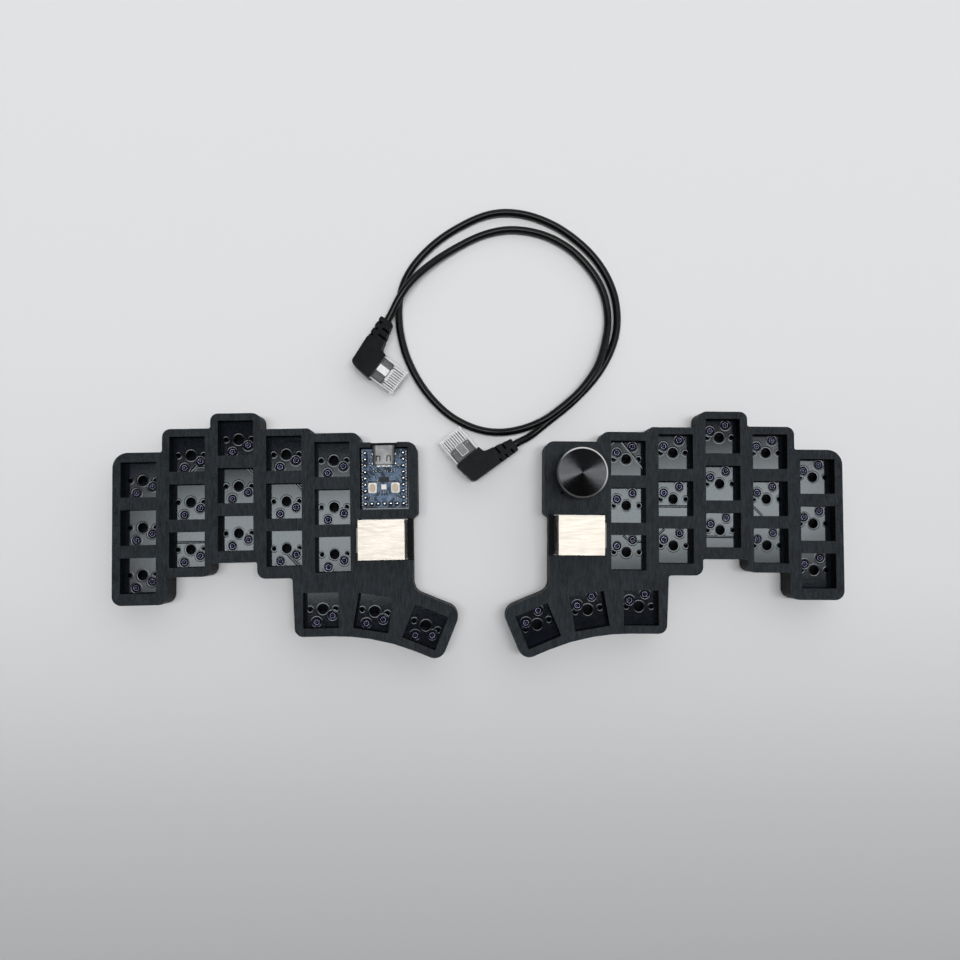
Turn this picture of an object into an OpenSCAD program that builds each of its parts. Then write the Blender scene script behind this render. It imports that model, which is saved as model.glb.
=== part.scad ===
// Split keyboard kit: two mirrored halves with open key wells, a controller board in the left
// half, a push encoder with a knob in the right half, and a loose link cable with angled plugs.
// Millimetres, +Z up, table at z = 0, origin midway between the halves.

/* [Key field] */
// Opening of one key well
well = 14; // [13.8:0.1:14.2]
// Distance between columns
pitch_x = 19.15; // [18.9:0.05:19.4]
// Distance between rows
pitch_y = 19; // [18.8:0.05:19.2]
// Height of the middle key of each column, outer column first
column_shift = [-16.05, -6.15, 0, -6.45, -9.2]; // [-20:0.05:5]
// Thumb keys: place across, place up and turn
thumb_keys = [[33.4, -50.1, 0], [54.1, -51.5, -10], [74.5, -57.5, -23]]; // [-70:0.1:90]

/* [Case] */
// Rim above the top key of each column
rim_top = [3.8, 3.1, 2.9, 2.8, 3.5]; // [2.6:0.1:4.5]
// Rim below the bottom key of the four outer columns
rim_bottom = [4.6, 3.7, 4.6, 4.7]; // [2.6:0.1:5]
// Rim beside the outer column and around the first thumb key
rim_side = 3.2; // [2.6:0.1:4]
// Inner edge of the controller or knob block
block_edge = 72.2; // [71:0.1:74]
// Top edge of that block
block_top = 16.3; // [15.6:0.1:17]
// Inner edge of the case beside the jack
jack_edge = 70; // [69.5:0.1:71]
// Case top above the circuit board
plate_h = 5; // [4.6:0.1:5.4]
// Outer wall of the case below the key plate
wall = 1.4; // [1.2:0.1:1.6]
// Bottom plate thickness
floor_t = 1.6; // [1.4:0.1:2]
// Room between the circuit board and the bottom plate
under_gap = 2.2; // [2:0.1:3]
// Rubber foot height
foot_h = 1.2; // [1:0.1:2.5]
// Rubber foot diameter
foot_d = 8; // [6:0.5:9]

/* [Placing] */
// Middle key of the middle column from the mid line
half_x = 97.6; // [92:0.1:110]
// The same key in front-to-back direction
half_y = 19.8; // [19.5:0.1:20.1]
// Turn of each half, inner ends down
toe = 0.73; // [0:0.01:1]

/* [Jack] */
// Shield length
jack_l = 18.1; // [17:0.1:18.3]
// Shield width
jack_w = 15.6; // [15:0.1:16]
// Shield height above the circuit board
jack_h = 13; // [12.6:0.1:13.6]
// Shield front from the middle column
jack_front = 67.3; // [67:0.1:67.5]
// Jack middle in the left half
left_jack_v = -22.6; // [-22.8:0.1:-21.4]
// Jack middle in the right half
right_jack_v = -21.3; // [-22.8:0.1:-21.2]

/* [Controller] */
// Controller board width
ctrl_w = 18; // [17.6:0.1:18.2]
// Controller board length
ctrl_l = 23.5; // [23:0.1:23.7]
// Controller board middle
ctrl_at = [58.95, 1.9]; // [0:0.05:60]
// Push of the two tact buttons
tact_travel = 0.25; // [0.15:0.05:0.25]

/* [Encoder and knob] */
// Encoder middle
enc_at = [58.6, 2.95]; // [0:0.05:60]
// Knob diameter
knob_d = 19.8; // [19:0.1:22]
// Knob underside above the case top
knob_lift = 1.8; // [1.7:0.1:2.5]
// Knob height
knob_h = 11.2; // [10.5:0.1:13]
// Push of the knob
push_travel = 0.5; // [0.3:0.1:0.5]

/* [Cable] */
// Cable diameter
cable_d = 3.1; // [2.8:0.1:3.1]
// Nose of the first plug
plug_a_at = [-32.6, 61.25]; // [-40:0.05:70]
// Direction of the first plug
plug_a_turn = -36.9; // [-38:0.1:-36]
// Nose of the second plug
plug_b_at = [-12.8, 40.25]; // [-40:0.05:70]
// Direction of the second plug
plug_b_turn = 130.1; // [129:0.1:131]
// Plug body width
plug_w = 11.7; // [11.5:0.1:11.9]
// Plug body height
plug_h = 6.6; // [6.4:0.1:6.8]
// Clear length in front of the boot
plug_l = 11.6; // [11.2:0.1:12.4]
// Boot height
boot_h = 8.6; // [8.4:0.1:9]

/* [Hidden] */
$fn = 48;
// Overshoot of a cut
e = 0.5;
// Room around the circuit board and the bottom plate
board_fit = 0.2;
// Room beside a sliding or turning piece
run_fit = 0.06;

// Levels above the table
z_floor = foot_h + floor_t;
z_pcb = z_floor + under_gap;
pcb_t = 1.6;
z_pcb_top = z_pcb + pcb_t;
z_top = z_pcb_top + plate_h;

// Keys: three rows in five columns, then the thumb keys
function column_u(c) = pitch_x * (c - 2);
function between(c) = pitch_x * (c - 1.5);
key_spots = concat(
    [for (c = [0:4]) for (r = [-1:1]) [column_u(c), column_shift[c] - pitch_y * r, 0]],
    thumb_keys
);
function turned(p, a) = [p.x * cos(a) - p.y * sin(a), p.x * sin(a) + p.y * cos(a)];
function from_key(k, p) = [k.x, k.y] + turned(p, k.z);
// Meeting point of two lines, each through a point in a direction
function meet(p, a, q, b) =
    p + [cos(a), sin(a)] * cross(q - p, [cos(b), sin(b)]) / sin(b - a);

// Case outline, clockwise, with a corner radius at each point
function edge_top(c) = column_shift[c] + pitch_y + well / 2 + rim_top[c];
function edge_bottom(c) = column_shift[c] - pitch_y - well / 2 - rim_bottom[c];
outer_edge = column_u(0) - well / 2 - rim_side;
thumb_1 = thumb_keys[0];
thumb_2 = thumb_keys[1];
thumb_3 = thumb_keys[2];
thumb_floor = -well / 2 - rim_side;
thumb_line_1 = from_key(thumb_1, [0, thumb_floor]);
thumb_line_2 = from_key(thumb_2, [0, thumb_floor]);
thumb_line_3 = from_key(thumb_3, [0, thumb_floor]);
thumb_left = thumb_1.x - well / 2 - rim_side;
thumb_end = well / 2 + 3.8;
thumb_head = well / 2 + 4.6;
thumb_sweep = 80;
inner_corner = 0.8;
column_5_edge = column_u(4) + well / 2 + 4.2;
jack_step = 1.9;
half_outline = [
    [outer_edge, edge_top(0), 6],
    [between(0) - 0.3, edge_top(0), inner_corner],
    [between(0) - 0.3, edge_top(1), 3.2],
    [between(1) - 0.4, edge_top(1), inner_corner],
    [between(1) - 0.4, edge_top(2), 3],
    [between(2) + 0.4, edge_top(2), 3.5],
    [between(2) + 0.4, edge_top(3), inner_corner],
    [between(3) + 1, edge_top(3), 1.2],
    [between(3) + 1, edge_top(4), 0.4],
    [column_5_edge, edge_top(4), 3.2],
    [column_5_edge, block_top, 0.6],
    [block_edge, block_top, 4],
    [block_edge, left_jack_v + 10, 1.2],
    [jack_edge, left_jack_v + 10 - jack_step, 1.2],
    concat(meet([jack_edge, 0], 90, from_key(thumb_3, [0, thumb_head]), thumb_3.z), [5]),
    concat(from_key(thumb_3, [thumb_end, thumb_head]), [5]),
    concat(from_key(thumb_3, [thumb_end, thumb_floor]), [4.5]),
    concat(meet(thumb_line_3, thumb_3.z, thumb_line_2, thumb_2.z), [thumb_sweep]),
    concat(meet(thumb_line_2, thumb_2.z, thumb_line_1, thumb_1.z), [thumb_sweep]),
    [thumb_left, thumb_line_1.y, 3.5],
    [thumb_left - 0.9, edge_bottom(3), 1.2],
    [between(2) - 1.1, edge_bottom(3), 3.3],
    [between(2) - 1.1, edge_bottom(2), inner_corner],
    [between(1), edge_bottom(2), inner_corner],
    [between(1), edge_bottom(1), 3.5],
    [between(0) + 2, edge_bottom(1), inner_corner],
    [between(0) + 2, edge_bottom(0), 3.8],
    [outer_edge, edge_bottom(0), 3.8]
];

function unit(v) = v / norm(v);
function flat(p) = [p.x, p.y];
function wrap(list, i) = list[(i + len(list)) % len(list)];
function leg(list, i) = unit(flat(wrap(list, i + 1)) - flat(wrap(list, i)));
function inward(d) = [d.y, -d.x];
function is_convex(list, i) = cross(leg(list, i - 1), leg(list, i)) < 0;
// The outline moved inwards, with its radii following
function inset(list, by) = [
    for (i = [0:len(list) - 1])
    let (a = inward(leg(list, i - 1)), b = inward(leg(list, i)))
    concat(
        flat(list[i]) + (a + b) * by / (1 + a * b),
        [is_convex(list, i) ? max(list[i].z - by, 0.3) : list[i].z + by]
    )
];
// The outline with its corners as arcs, one step per 12 degrees or finer
function rounded(list) = [
    for (i = [0:len(list) - 1])
    let (
        back = leg(list, i - 1),
        ahead = leg(list, i),
        sweep = atan2(cross(back, ahead), back * ahead),
        reach = list[i].z * tan(abs(sweep) / 2),
        steps = max(2, ceil(abs(sweep) / 12)),
        side = sign(sweep),
        start = flat(list[i]) - back * reach,
        middle = start - inward(back) * list[i].z * side
    )
    for (s = [0:steps])
    middle + turned(start - middle, sweep * s / steps)
];

// Places of the two halves; the right one is the mirror image of the left
module left_half() {
    translate([-half_x, half_y, 0]) rotate(toe) children();
}
module right_half() {
    translate([half_x, half_y, 0]) rotate(-toe) mirror([1, 0, 0]) children();
}
module at_keys() {
    for (k = key_spots) translate([k.x, k.y, 0]) rotate(k.z) children();
}
module box_between(a, b) {
    translate(a) cube(b - a);
}

// Case, bottom plate and fasteners
screw_d = 2;
screw_head_d = 3.8;
screw_head_h = 1.4;
screw_pass = screw_d + 0.4;
screw_sink = screw_head_d + 0.4;
post_d = 5;
insert_d = 3.2;
insert_h = 3.8;
screw_spots = [
    [between(0), column_shift[1]],
    [between(0), column_shift[1] - pitch_y],
    [between(2), column_shift[3] - 0.6],
    [between(3), column_shift[3] - 12],
    [between(3), thumb_1.y + 11],
    [60, thumb_2.y + 14],
    [(thumb_2.x + thumb_3.x) / 2 + 0.7, (thumb_2.y + thumb_3.y) / 2]
];
foot_spots = [
    [column_u(0), edge_top(0) - 7],
    [column_u(0), edge_bottom(0) + 7],
    [column_u(2), edge_top(2) - 7],
    [63, block_top - 8],
    [thumb_1.x, thumb_1.y],
    [thumb_3.x, thumb_3.y]
];

module case_shell() {
    difference() {
        translate([0, 0, foot_h])
            linear_extrude(z_top - foot_h) polygon(rounded(half_outline));
        translate([0, 0, foot_h - e])
            linear_extrude(z_pcb_top - foot_h + e) polygon(rounded(inset(half_outline, wall)));
        translate([0, 0, z_pcb_top - e]) linear_extrude(plate_h + 2 * e)
            at_keys() square(well, center = true);
        for (s = screw_spots)
            translate([s.x, s.y, z_pcb_top - e]) cylinder(d = insert_d, h = insert_h + e);
        children();
    }
}

// Opening over the jack, cut down through the inner wall for the plug
jack_room = 0.5;
jack_sill = 0.6;
module jack_opening(v) {
    half = jack_w / 2 + jack_room;
    box_between([jack_front - jack_l - jack_room, v - half, z_pcb_top - e],
        [jack_front + jack_room, v + half, z_top + e]);
    box_between([jack_front, v - half, z_pcb_top + jack_sill], [jack_edge + e, v + half, z_top + e]);
}

module bottom_plate() {
    difference() {
        union() {
            translate([0, 0, foot_h])
                linear_extrude(floor_t) polygon(rounded(inset(half_outline, wall + board_fit)));
            for (s = screw_spots)
                translate([s.x, s.y, z_floor]) cylinder(d = post_d, h = under_gap);
        }
        for (s = screw_spots) translate([s.x, s.y, 0]) {
            cylinder(d = screw_pass, h = z_pcb + e);
            cylinder(d = screw_sink, h = foot_h + screw_head_h + 0.4);
        }
    }
}
module screws() {
    seat = foot_h + screw_head_h + 0.4;
    for (s = screw_spots) translate([s.x, s.y, 0]) difference() {
        union() {
            translate([0, 0, seat - screw_head_h]) cylinder(d = screw_head_d, h = screw_head_h);
            translate([0, 0, seat]) cylinder(d = screw_d, h = z_pcb_top + insert_h - 0.6 - seat);
        }
        translate([0, 0, seat - screw_head_h - e]) cylinder(d = 1.6, h = 0.9 + e, $fn = 6);
    }
}
module inserts() {
    for (s = screw_spots) translate([s.x, s.y, z_pcb_top]) difference() {
        cylinder(d = insert_d, h = insert_h);
        translate([0, 0, -e]) cylinder(d = screw_d, h = insert_h + 2 * e);
    }
}
module feet() {
    for (f = foot_spots) translate([f.x, f.y, 0]) cylinder(d1 = foot_d - 0.8, d2 = foot_d, h = foot_h);
}

// Circuit board of a half; side is -1 where the sockets lie below the key middles, 1 above them
socket_spots = [[-2.54, 5.08], [3.81, 2.54]];
barrel_d = 2.9;
module pcb(side) {
    translate([0, 0, z_pcb]) linear_extrude(pcb_t) difference() {
        polygon(rounded(inset(half_outline, wall + board_fit)));
        at_keys() {
            circle(d = 4);
            for (x = [-5.08, 5.08]) translate([x, 0]) circle(d = 1.8);
            for (p = socket_spots) translate([p.x, p.y * side]) circle(d = barrel_d);
        }
        for (s = screw_spots) translate(s) circle(d = screw_pass);
        children();
    }
}

// Switch sockets: plastic bodies under the board, with barrels that reach up through it around metal clips
socket_t = 1.85;
clip_d = 2.1;
clip_bore = 1.5;
clip_depth = 1.2;
clip_sunk = 0.3;
socket_shape = [
    [-5.3, 2.9], [-5.3, 7.1], [1.6, 7.1], [3, 4.7], [6.6, 4.7], [6.6, 0.5], [-1, 0.5], [-3, 2.9]
];
module hotswap_sockets(side) {
    translate([0, 0, z_pcb]) at_keys() mirror([0, side < 0 ? 1 : 0, 0]) difference() {
        union() {
            translate([0, 0, -socket_t]) linear_extrude(socket_t) polygon(socket_shape);
            for (p = socket_spots) translate(p) cylinder(d = barrel_d, h = pcb_t);
        }
        for (p = socket_spots) translate([p.x, p.y, -clip_depth])
            cylinder(d = clip_d, h = clip_depth + pcb_t + e);
    }
}
module socket_contacts(side) {
    pad = [1.6, 2.2, 0.5];
    translate([0, 0, z_pcb]) at_keys() mirror([0, side < 0 ? 1 : 0, 0]) {
        for (p = socket_spots) translate([p.x, p.y, -clip_depth]) difference() {
            cylinder(d = clip_d, h = clip_depth + pcb_t - clip_sunk);
            translate([0, 0, -e]) cylinder(d = clip_bore, h = clip_depth + pcb_t + 2 * e);
        }
        translate([socket_shape[0].x - pad.x, socket_spots[0].y - pad.y / 2, -pad.z]) cube(pad);
        translate([socket_shape[4].x, socket_spots[1].y - pad.y / 2, -pad.z]) cube(pad);
    }
}
module diodes(side) {
    size = [2.7, 1.6, 1.1];
    at_keys() translate([-size.x / 2, -side * 5.6 - size.y / 2, z_pcb - size.z]) cube(size);
}

// Jack: a bent shield with a folded tab behind, around a housing with a port and eight spring contacts
sheet = 0.3;
pin_out = 1.4;
port_w = 11.9;
port_floor = 2;
port_h = 6.9;
port_depth = 13;
key_w = 6.3;
key_h = 2.4;
contact_n = 8;
contact_pitch = 1.02;
contact_d = 0.5;
contact_rise = 21;
contact_end = -11.5;
tab_x = -9;
tab_w = 1.6;
function contact_y(i) = (i - (contact_n - 1) / 2) * contact_pitch;
function contact_x(i) = i % 2 == 0 ? -3.4 : -5.9;
module at_jack(v) {
    translate([jack_front, v, z_pcb_top]) children();
}
module jack_tab_holes() {
    for (s = [-1, 1])
        translate([tab_x - tab_w / 2, s * (jack_w / 2 - sheet / 2) - sheet / 2]) square([tab_w, sheet]);
}
module jack_pin_holes() {
    for (i = [0:contact_n - 1]) translate([contact_x(i), contact_y(i)]) circle(d = contact_d);
}
module jack_board_holes(v) {
    translate([jack_front, v]) {
        jack_tab_holes();
        jack_pin_holes();
    }
}
module jack_shield() {
    half = jack_w / 2;
    tab_half = 4.8;
    tab_out = 0.6;
    difference() {
        box_between([-jack_l, -half, 0], [0, half, jack_h]);
        box_between([-jack_l + sheet, -half + sheet, -e], [e, half - sheet, jack_h - sheet]);
        for (s = [-1, 1]) translate([-6.5, s * half, 6]) rotate([90, 0, 0]) leaf_slot();
    }
    box_between([-jack_l - tab_out, -tab_half, plate_h + 0.4], [-jack_l, tab_half, jack_h - 0.4]);
    translate([0, 0, -pcb_t - pin_out]) linear_extrude(pcb_t + pin_out) jack_tab_holes();
}
// U-shaped slot that frees the grounding leaf in each side of the shield
module leaf_slot() {
    slot = 0.5;
    leaf = [5, 2.4];
    linear_extrude(4 * sheet, center = true) difference() {
        square(leaf + 2 * [slot, slot], center = true);
        translate([slot, 0]) square([leaf.x + 2 * slot, leaf.y], center = true);
    }
}
module jack_housing() {
    half = jack_w / 2 - sheet;
    bezel = 0.5;
    difference() {
        box_between([-jack_l + sheet, -half, 0], [bezel, half, jack_h - sheet]);
        box_between([-port_depth, -port_w / 2, port_floor], [bezel + e, port_w / 2, port_floor + port_h]);
        box_between([-port_depth, -key_w / 2, port_floor + port_h - e],
            [bezel + e, key_w / 2, port_floor + port_h + key_h]);
        translate([0, 0, -e]) linear_extrude(port_floor + 2 * e) jack_pin_holes();
    }
}
module jack_contacts() {
    wire = contact_d * 0.7;
    for (i = [0:contact_n - 1]) translate([contact_x(i), contact_y(i), 0]) {
        translate([0, 0, -pcb_t - pin_out]) cylinder(d = contact_d, h = pcb_t + pin_out + port_floor);
        translate([0, 0, port_floor]) cylinder(d = contact_d, h = contact_d);
        translate([0, 0, port_floor + contact_d / 2]) rotate([0, contact_rise, 0])
            translate([-(contact_x(i) - contact_end) / cos(contact_rise), -wire / 2, -wire / 2])
            cube([(contact_x(i) - contact_end) / cos(contact_rise), wire, wire]);
    }
}

// Controller: a small board on three header strips
ctrl_t = 1.2;
header_pitch = 2.54;
header_h = 2.54;
header_pin_d = 0.7;
side_pins = 9;
end_pins = 5;
z_ctrl = z_pcb_top + header_h;
z_ctrl_top = z_ctrl + ctrl_t;
header_reach = 3 * header_pitch;
header_spots = concat(
    [for (s = [-1, 1]) for (i = [0:side_pins - 1]) [s * header_reach, (i - 4) * header_pitch]],
    [for (i = [0:end_pins - 1]) [(i - 2) * header_pitch, -4 * header_pitch]]
);
ctrl_room = 0.65;
usb_w = 8.94;
usb_h = 3.26;
usb_l = 7.6;
usb_front = 12.9;
usb_sheet = 0.3;
tact_spots = [[-4.65, -3.9], [4.45, -3.9]];
tact_size = [3.4, 4.2, 1.4];
tact_cap = [2.1, 3.1, 1.2];
tact_floor = 0.4;
module at_controller(z) {
    translate([ctrl_at.x, ctrl_at.y, z]) children();
}
module header_holes() {
    for (p = header_spots) translate(p) circle(d = header_pin_d);
}
module controller_opening() {
    at_controller(z_pcb_top - e)
        translate([-ctrl_w / 2 - ctrl_room, -ctrl_l / 2 - ctrl_room, 0])
        cube([ctrl_w + 2 * ctrl_room, ctrl_l + 2 * ctrl_room, plate_h + 2 * e]);
    at_controller(z_ctrl - 0.3)
        translate([-usb_w / 2 - 0.75, 0, 0]) cube([usb_w + 1.5, ctrl_l, z_top]);
}
// Stadium outline of the USB mouth, less a wall
module usb_shape(less) {
    r = usb_h / 2;
    for (s = [-1, 1]) translate([s * (usb_w / 2 - r), 0]) circle(r = r - less);
    square([usb_w - usb_h, usb_h - 2 * less], center = true);
}
module oval(w, l) {
    for (s = [-1, 1]) translate([0, s * (l - w) / 2]) circle(d = w);
    square([w, l - w], center = true);
}
module tact_button(at) {
    left_half() at_controller(z_ctrl_top + tact_floor + tact_travel + 0.05)
        translate([at.x, at.y, 0]) linear_extrude(tact_cap.z) oval(tact_cap.x, tact_cap.y);
}

// Left half
module left_top_case() {
    color("#34363a") left_half() case_shell() {
        jack_opening(left_jack_v);
        controller_opening();
    }
}
module left_bottom_plate() {
    color("#303236") left_half() bottom_plate();
}
module left_pcb() {
    color("#1c1e22") left_half() pcb(-1) {
        jack_board_holes(left_jack_v);
        translate(ctrl_at) header_holes();
    }
}
module left_hotswap_sockets() {
    color("#2a2a2c") left_half() hotswap_sockets(-1);
}
module left_socket_contacts() {
    color("#b9a26a") left_half() socket_contacts(-1);
}
module left_diodes() {
    color("#26262a") left_half() diodes(-1);
}
module left_jack_shield() {
    color("#c9ccd0") left_half() at_jack(left_jack_v) jack_shield();
}
module left_jack_housing() {
    color("#202124") left_half() at_jack(left_jack_v) jack_housing();
}
module left_jack_contacts() {
    color("#d4af4e") left_half() at_jack(left_jack_v) jack_contacts();
}
module left_screws() {
    color("#8f9296") left_half() screws();
}
module left_inserts() {
    color("#c2a14a") left_half() inserts();
}
module left_feet() {
    color("#18191b") left_half() feet();
}
module controller_board() {
    color("#1c4f9c") left_half() at_controller(z_ctrl) linear_extrude(ctrl_t) difference() {
        square([ctrl_w, ctrl_l], center = true);
        header_holes();
    }
}
module header_strips() {
    side = side_pins * header_pitch;
    end = end_pins * header_pitch - 0.4;
    color("#222326") left_half() at_controller(z_pcb_top) linear_extrude(header_h) difference() {
        union() {
            for (s = [-1, 1]) translate([s * header_reach, 0]) square([header_pitch, side], center = true);
            translate([0, -4 * header_pitch]) square([end, header_pitch], center = true);
        }
        header_holes();
    }
}
// Pins with a cone of solder on top of the controller board
module header_pins() {
    solder_d = 1.9;
    solder_h = 0.8;
    pin_l = pin_out + pcb_t + header_h + ctrl_t + solder_h;
    color("#c8cbd0") left_half() at_controller(z_pcb - pin_out) for (p = header_spots) translate(p) {
        cylinder(d = header_pin_d, h = pin_l + 0.3, $fn = 24);
        translate([0, 0, pin_l - solder_h]) cylinder(d1 = solder_d, d2 = header_pin_d + 0.2, h = solder_h);
    }
}
module usb_shell() {
    finger_x = 2.1;
    finger_y = usb_front - usb_l + 2.4;
    color("#c9ccd0") left_half() at_controller(z_ctrl_top + usb_h / 2) difference() {
        translate([0, usb_front, 0]) rotate([90, 0, 0]) linear_extrude(usb_l) difference() {
            usb_shape(0);
            usb_shape(usb_sheet);
        }
        for (s = [-1, 1]) translate([s * finger_x, finger_y, usb_h / 2 - usb_sheet]) finger_slot();
    }
}
// U-shaped slot that frees a spring finger in the top of the USB shell
module finger_slot() {
    slot = 0.4;
    finger = [1, 1.5];
    translate([0, 0, -e]) linear_extrude(usb_sheet + 2 * e) difference() {
        square(finger + 2 * [slot, slot], center = true);
        translate([0, -slot]) square([finger.x, finger.y + 2 * slot], center = true);
    }
}
module usb_tongue() {
    back = 1.2;
    tongue = [6.7, 5.2, 0.7];
    color("#1b1b1d") left_half() at_controller(z_ctrl_top + usb_h / 2) {
        translate([0, usb_front - usb_l + back, 0]) rotate([90, 0, 0])
            linear_extrude(back) usb_shape(usb_sheet);
        translate([-tongue.x / 2, usb_front - usb_l + back, -tongue.z / 2]) cube(tongue);
    }
}
module button_frames() {
    color("#d3d5d6") left_half() at_controller(z_ctrl_top) for (p = tact_spots) translate(p) difference() {
        translate([-tact_size.x / 2, -tact_size.y / 2, 0]) cube(tact_size);
        translate([0, 0, tact_floor]) linear_extrude(tact_size.z)
            oval(tact_cap.x + 2 * run_fit, tact_cap.y + 2 * run_fit);
    }
}
module boot_button() {
    color("#cbb894") tact_button(tact_spots[0]);
}
module reset_button() {
    color("#cbb894") tact_button(tact_spots[1]);
}
module controller_chip() {
    size = [3.8, 2.1, 0.9];
    color("#2a2b30") left_half() at_controller(z_ctrl_top)
        translate([-0.15 - size.x / 2, -0.5 - size.y / 2, 0]) cube(size);
}
module status_led() {
    size = [2, 2, 0.8];
    color("#eef0ee") left_half() at_controller(z_ctrl_top)
        translate([-0.15 - size.x / 2, -3.5 - size.y / 2, 0]) cube(size);
}

// Encoder, measured from the top of the circuit board
enc_body = [12, 13, 4.4];
enc_plate = 0.8;
enc_cavity_d = 7.4;
enc_cavity_floor = 0.6;
bush_d = 7;
bush_flange_d = 9;
bush_flange_h = 0.8;
bush_top = 8.6;
shaft_d = 6;
knob_bore = shaft_d + 0.04;
shaft_low = 2.4;
shaft_high = 15.4;
shaft_flat = 1.5;
collar_d = 6.8;
collar_h = 0.7;
plunger_d = 6;
plunger_low = enc_cavity_floor + push_travel + 0.3;
plunger_h = 0.7;
plunger_pin_d = 2;
knob_low = plate_h + knob_lift;
knob_grip = bush_top + push_travel + 0.4;
leg_t = 0.4;
leg_w = 2.4;
enc_pin_d = 0.8;
enc_pin_reach = enc_body.y / 2 + 0.8;
enc_pin_spots = [
    [-2.5, -enc_pin_reach], [0, -enc_pin_reach], [2.5, -enc_pin_reach],
    [-2.5, enc_pin_reach], [2.5, enc_pin_reach]
];
module at_encoder(z = 0) {
    translate([enc_at.x, enc_at.y, z_pcb_top + z]) children();
}
module bracket_leg_holes() {
    for (s = [-1, 1])
        translate([s * (enc_body.x + leg_t) / 2, 0]) square([leg_t, leg_w], center = true);
}
module encoder_opening() {
    room = 0.5;
    w = enc_body.x + 2 * (leg_t + room);
    l = 2 * enc_pin_reach + enc_pin_d + 0.4;
    at_encoder(-e) translate([-w / 2, -l / 2, 0]) cube([w, l, plate_h + 2 * e]);
}
// Round rod with a flat, as on the shaft end and in the knob
module d_shape(d) {
    difference() {
        circle(d = d);
        translate([-d, -d - shaft_flat]) square([2 * d, d]);
    }
}
module encoder_housing() {
    color("#232427") right_half() at_encoder() difference() {
        translate([-enc_body.x / 2, -enc_body.y / 2, 0]) cube(enc_body);
        translate([0, 0, enc_cavity_floor]) cylinder(d = enc_cavity_d, h = enc_body.z);
    }
}
module encoder_bracket() {
    w = enc_body.x + 2 * leg_t;
    color("#b9bcc0") right_half() at_encoder() {
        translate([0, 0, enc_body.z]) linear_extrude(enc_plate) difference() {
            square([w, enc_body.y], center = true);
            circle(d = bush_d);
        }
        translate([0, 0, -pcb_t - pin_out]) linear_extrude(enc_body.z + pcb_t + pin_out) bracket_leg_holes();
    }
}
module encoder_bushing() {
    flange_low = enc_body.z + enc_plate;
    color("#c4c7ca") right_half() at_encoder() difference() {
        union() {
            translate([0, 0, enc_body.z]) cylinder(d = bush_d, h = bush_top - enc_body.z);
            translate([0, 0, flange_low]) cylinder(d = bush_flange_d, h = bush_flange_h);
        }
        translate([0, 0, enc_body.z - e])
            cylinder(d = shaft_d + 2 * run_fit, h = bush_top - enc_body.z + 2 * e);
    }
}
module encoder_shaft() {
    color("#d0d2d4") right_half() at_encoder() difference() {
        union() {
            translate([0, 0, shaft_low]) cylinder(d = shaft_d, h = knob_grip - shaft_low);
            translate([0, 0, knob_grip]) linear_extrude(shaft_high - knob_grip) d_shape(shaft_d);
            translate([0, 0, shaft_low]) cylinder(d = collar_d, h = collar_h);
        }
        translate([0, 0, shaft_low - e]) cylinder(d = plunger_pin_d + 2 * run_fit, h = 1.6 + e);
    }
}
module encoder_plunger() {
    color("#e6e4dc") right_half() at_encoder(plunger_low) {
        cylinder(d = plunger_d, h = plunger_h);
        cylinder(d = plunger_pin_d, h = shaft_low - plunger_low + 1.2);
    }
}
module encoder_terminals() {
    foot = 0.5;
    color("#c8cbd0") right_half() at_encoder() for (p = enc_pin_spots) {
        translate([p.x, p.y, -pcb_t - pin_out]) cylinder(d = enc_pin_d, h = pcb_t + pin_out + foot);
        translate([p.x - enc_pin_d / 2, min(p.y, sign(p.y) * enc_body.y / 2), 0])
            cube([enc_pin_d, enc_pin_reach - enc_body.y / 2, foot]);
    }
}
// Turned knob with a flat top and chamfered edges
module knob() {
    r = knob_d / 2;
    top = knob_low + knob_h;
    edge = 0.6;
    screw_z = (knob_grip + shaft_high) / 2;
    profile = [
        [bush_flange_d / 2 + 0.6, knob_low], [r - edge, knob_low], [r, knob_low + edge],
        [r, top - edge], [r - edge, top], [0, top], [0, knob_grip],
        [bush_flange_d / 2 + 0.6, knob_grip]
    ];
    color("#26272a") right_half() at_encoder() difference() {
        rotate_extrude($fn = 96) polygon(profile);
        translate([0, 0, knob_grip - e]) linear_extrude(shaft_high - knob_grip + e) d_shape(knob_bore);
        translate([0, 0, screw_z]) rotate([90, 0, 0]) cylinder(d = set_screw_d, h = knob_d);
    }
}
set_screw_d = 3;
set_screw_l = 5;
module knob_set_screw() {
    screw_z = (knob_grip + shaft_high) / 2;
    socket = 1.5;
    color("#4a4c50") right_half() at_encoder(screw_z) rotate([90, 0, 0]) translate([0, 0, shaft_flat])
        difference() {
            cylinder(d = set_screw_d, h = set_screw_l);
            translate([0, 0, set_screw_l - socket]) cylinder(d = socket, h = socket + e, $fn = 6);
        }
}

// Right half
module right_top_case() {
    color("#34363a") right_half() case_shell() {
        jack_opening(right_jack_v);
        encoder_opening();
    }
}
module right_bottom_plate() {
    color("#303236") right_half() bottom_plate();
}
module right_pcb() {
    color("#1c1e22") right_half() pcb(1) {
        jack_board_holes(right_jack_v);
        translate(enc_at) {
            bracket_leg_holes();
            for (p = enc_pin_spots) translate(p) circle(d = enc_pin_d);
        }
    }
}
module right_hotswap_sockets() {
    color("#2a2a2c") right_half() hotswap_sockets(1);
}
module right_socket_contacts() {
    color("#b9a26a") right_half() socket_contacts(1);
}
module right_diodes() {
    color("#26262a") right_half() diodes(1);
}
module right_jack_shield() {
    color("#c9ccd0") right_half() at_jack(right_jack_v) jack_shield();
}
module right_jack_housing() {
    color("#202124") right_half() at_jack(right_jack_v) jack_housing();
}
module right_jack_contacts() {
    color("#d4af4e") right_half() at_jack(right_jack_v) jack_contacts();
}
module right_screws() {
    color("#8f9296") right_half() screws();
}
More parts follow.
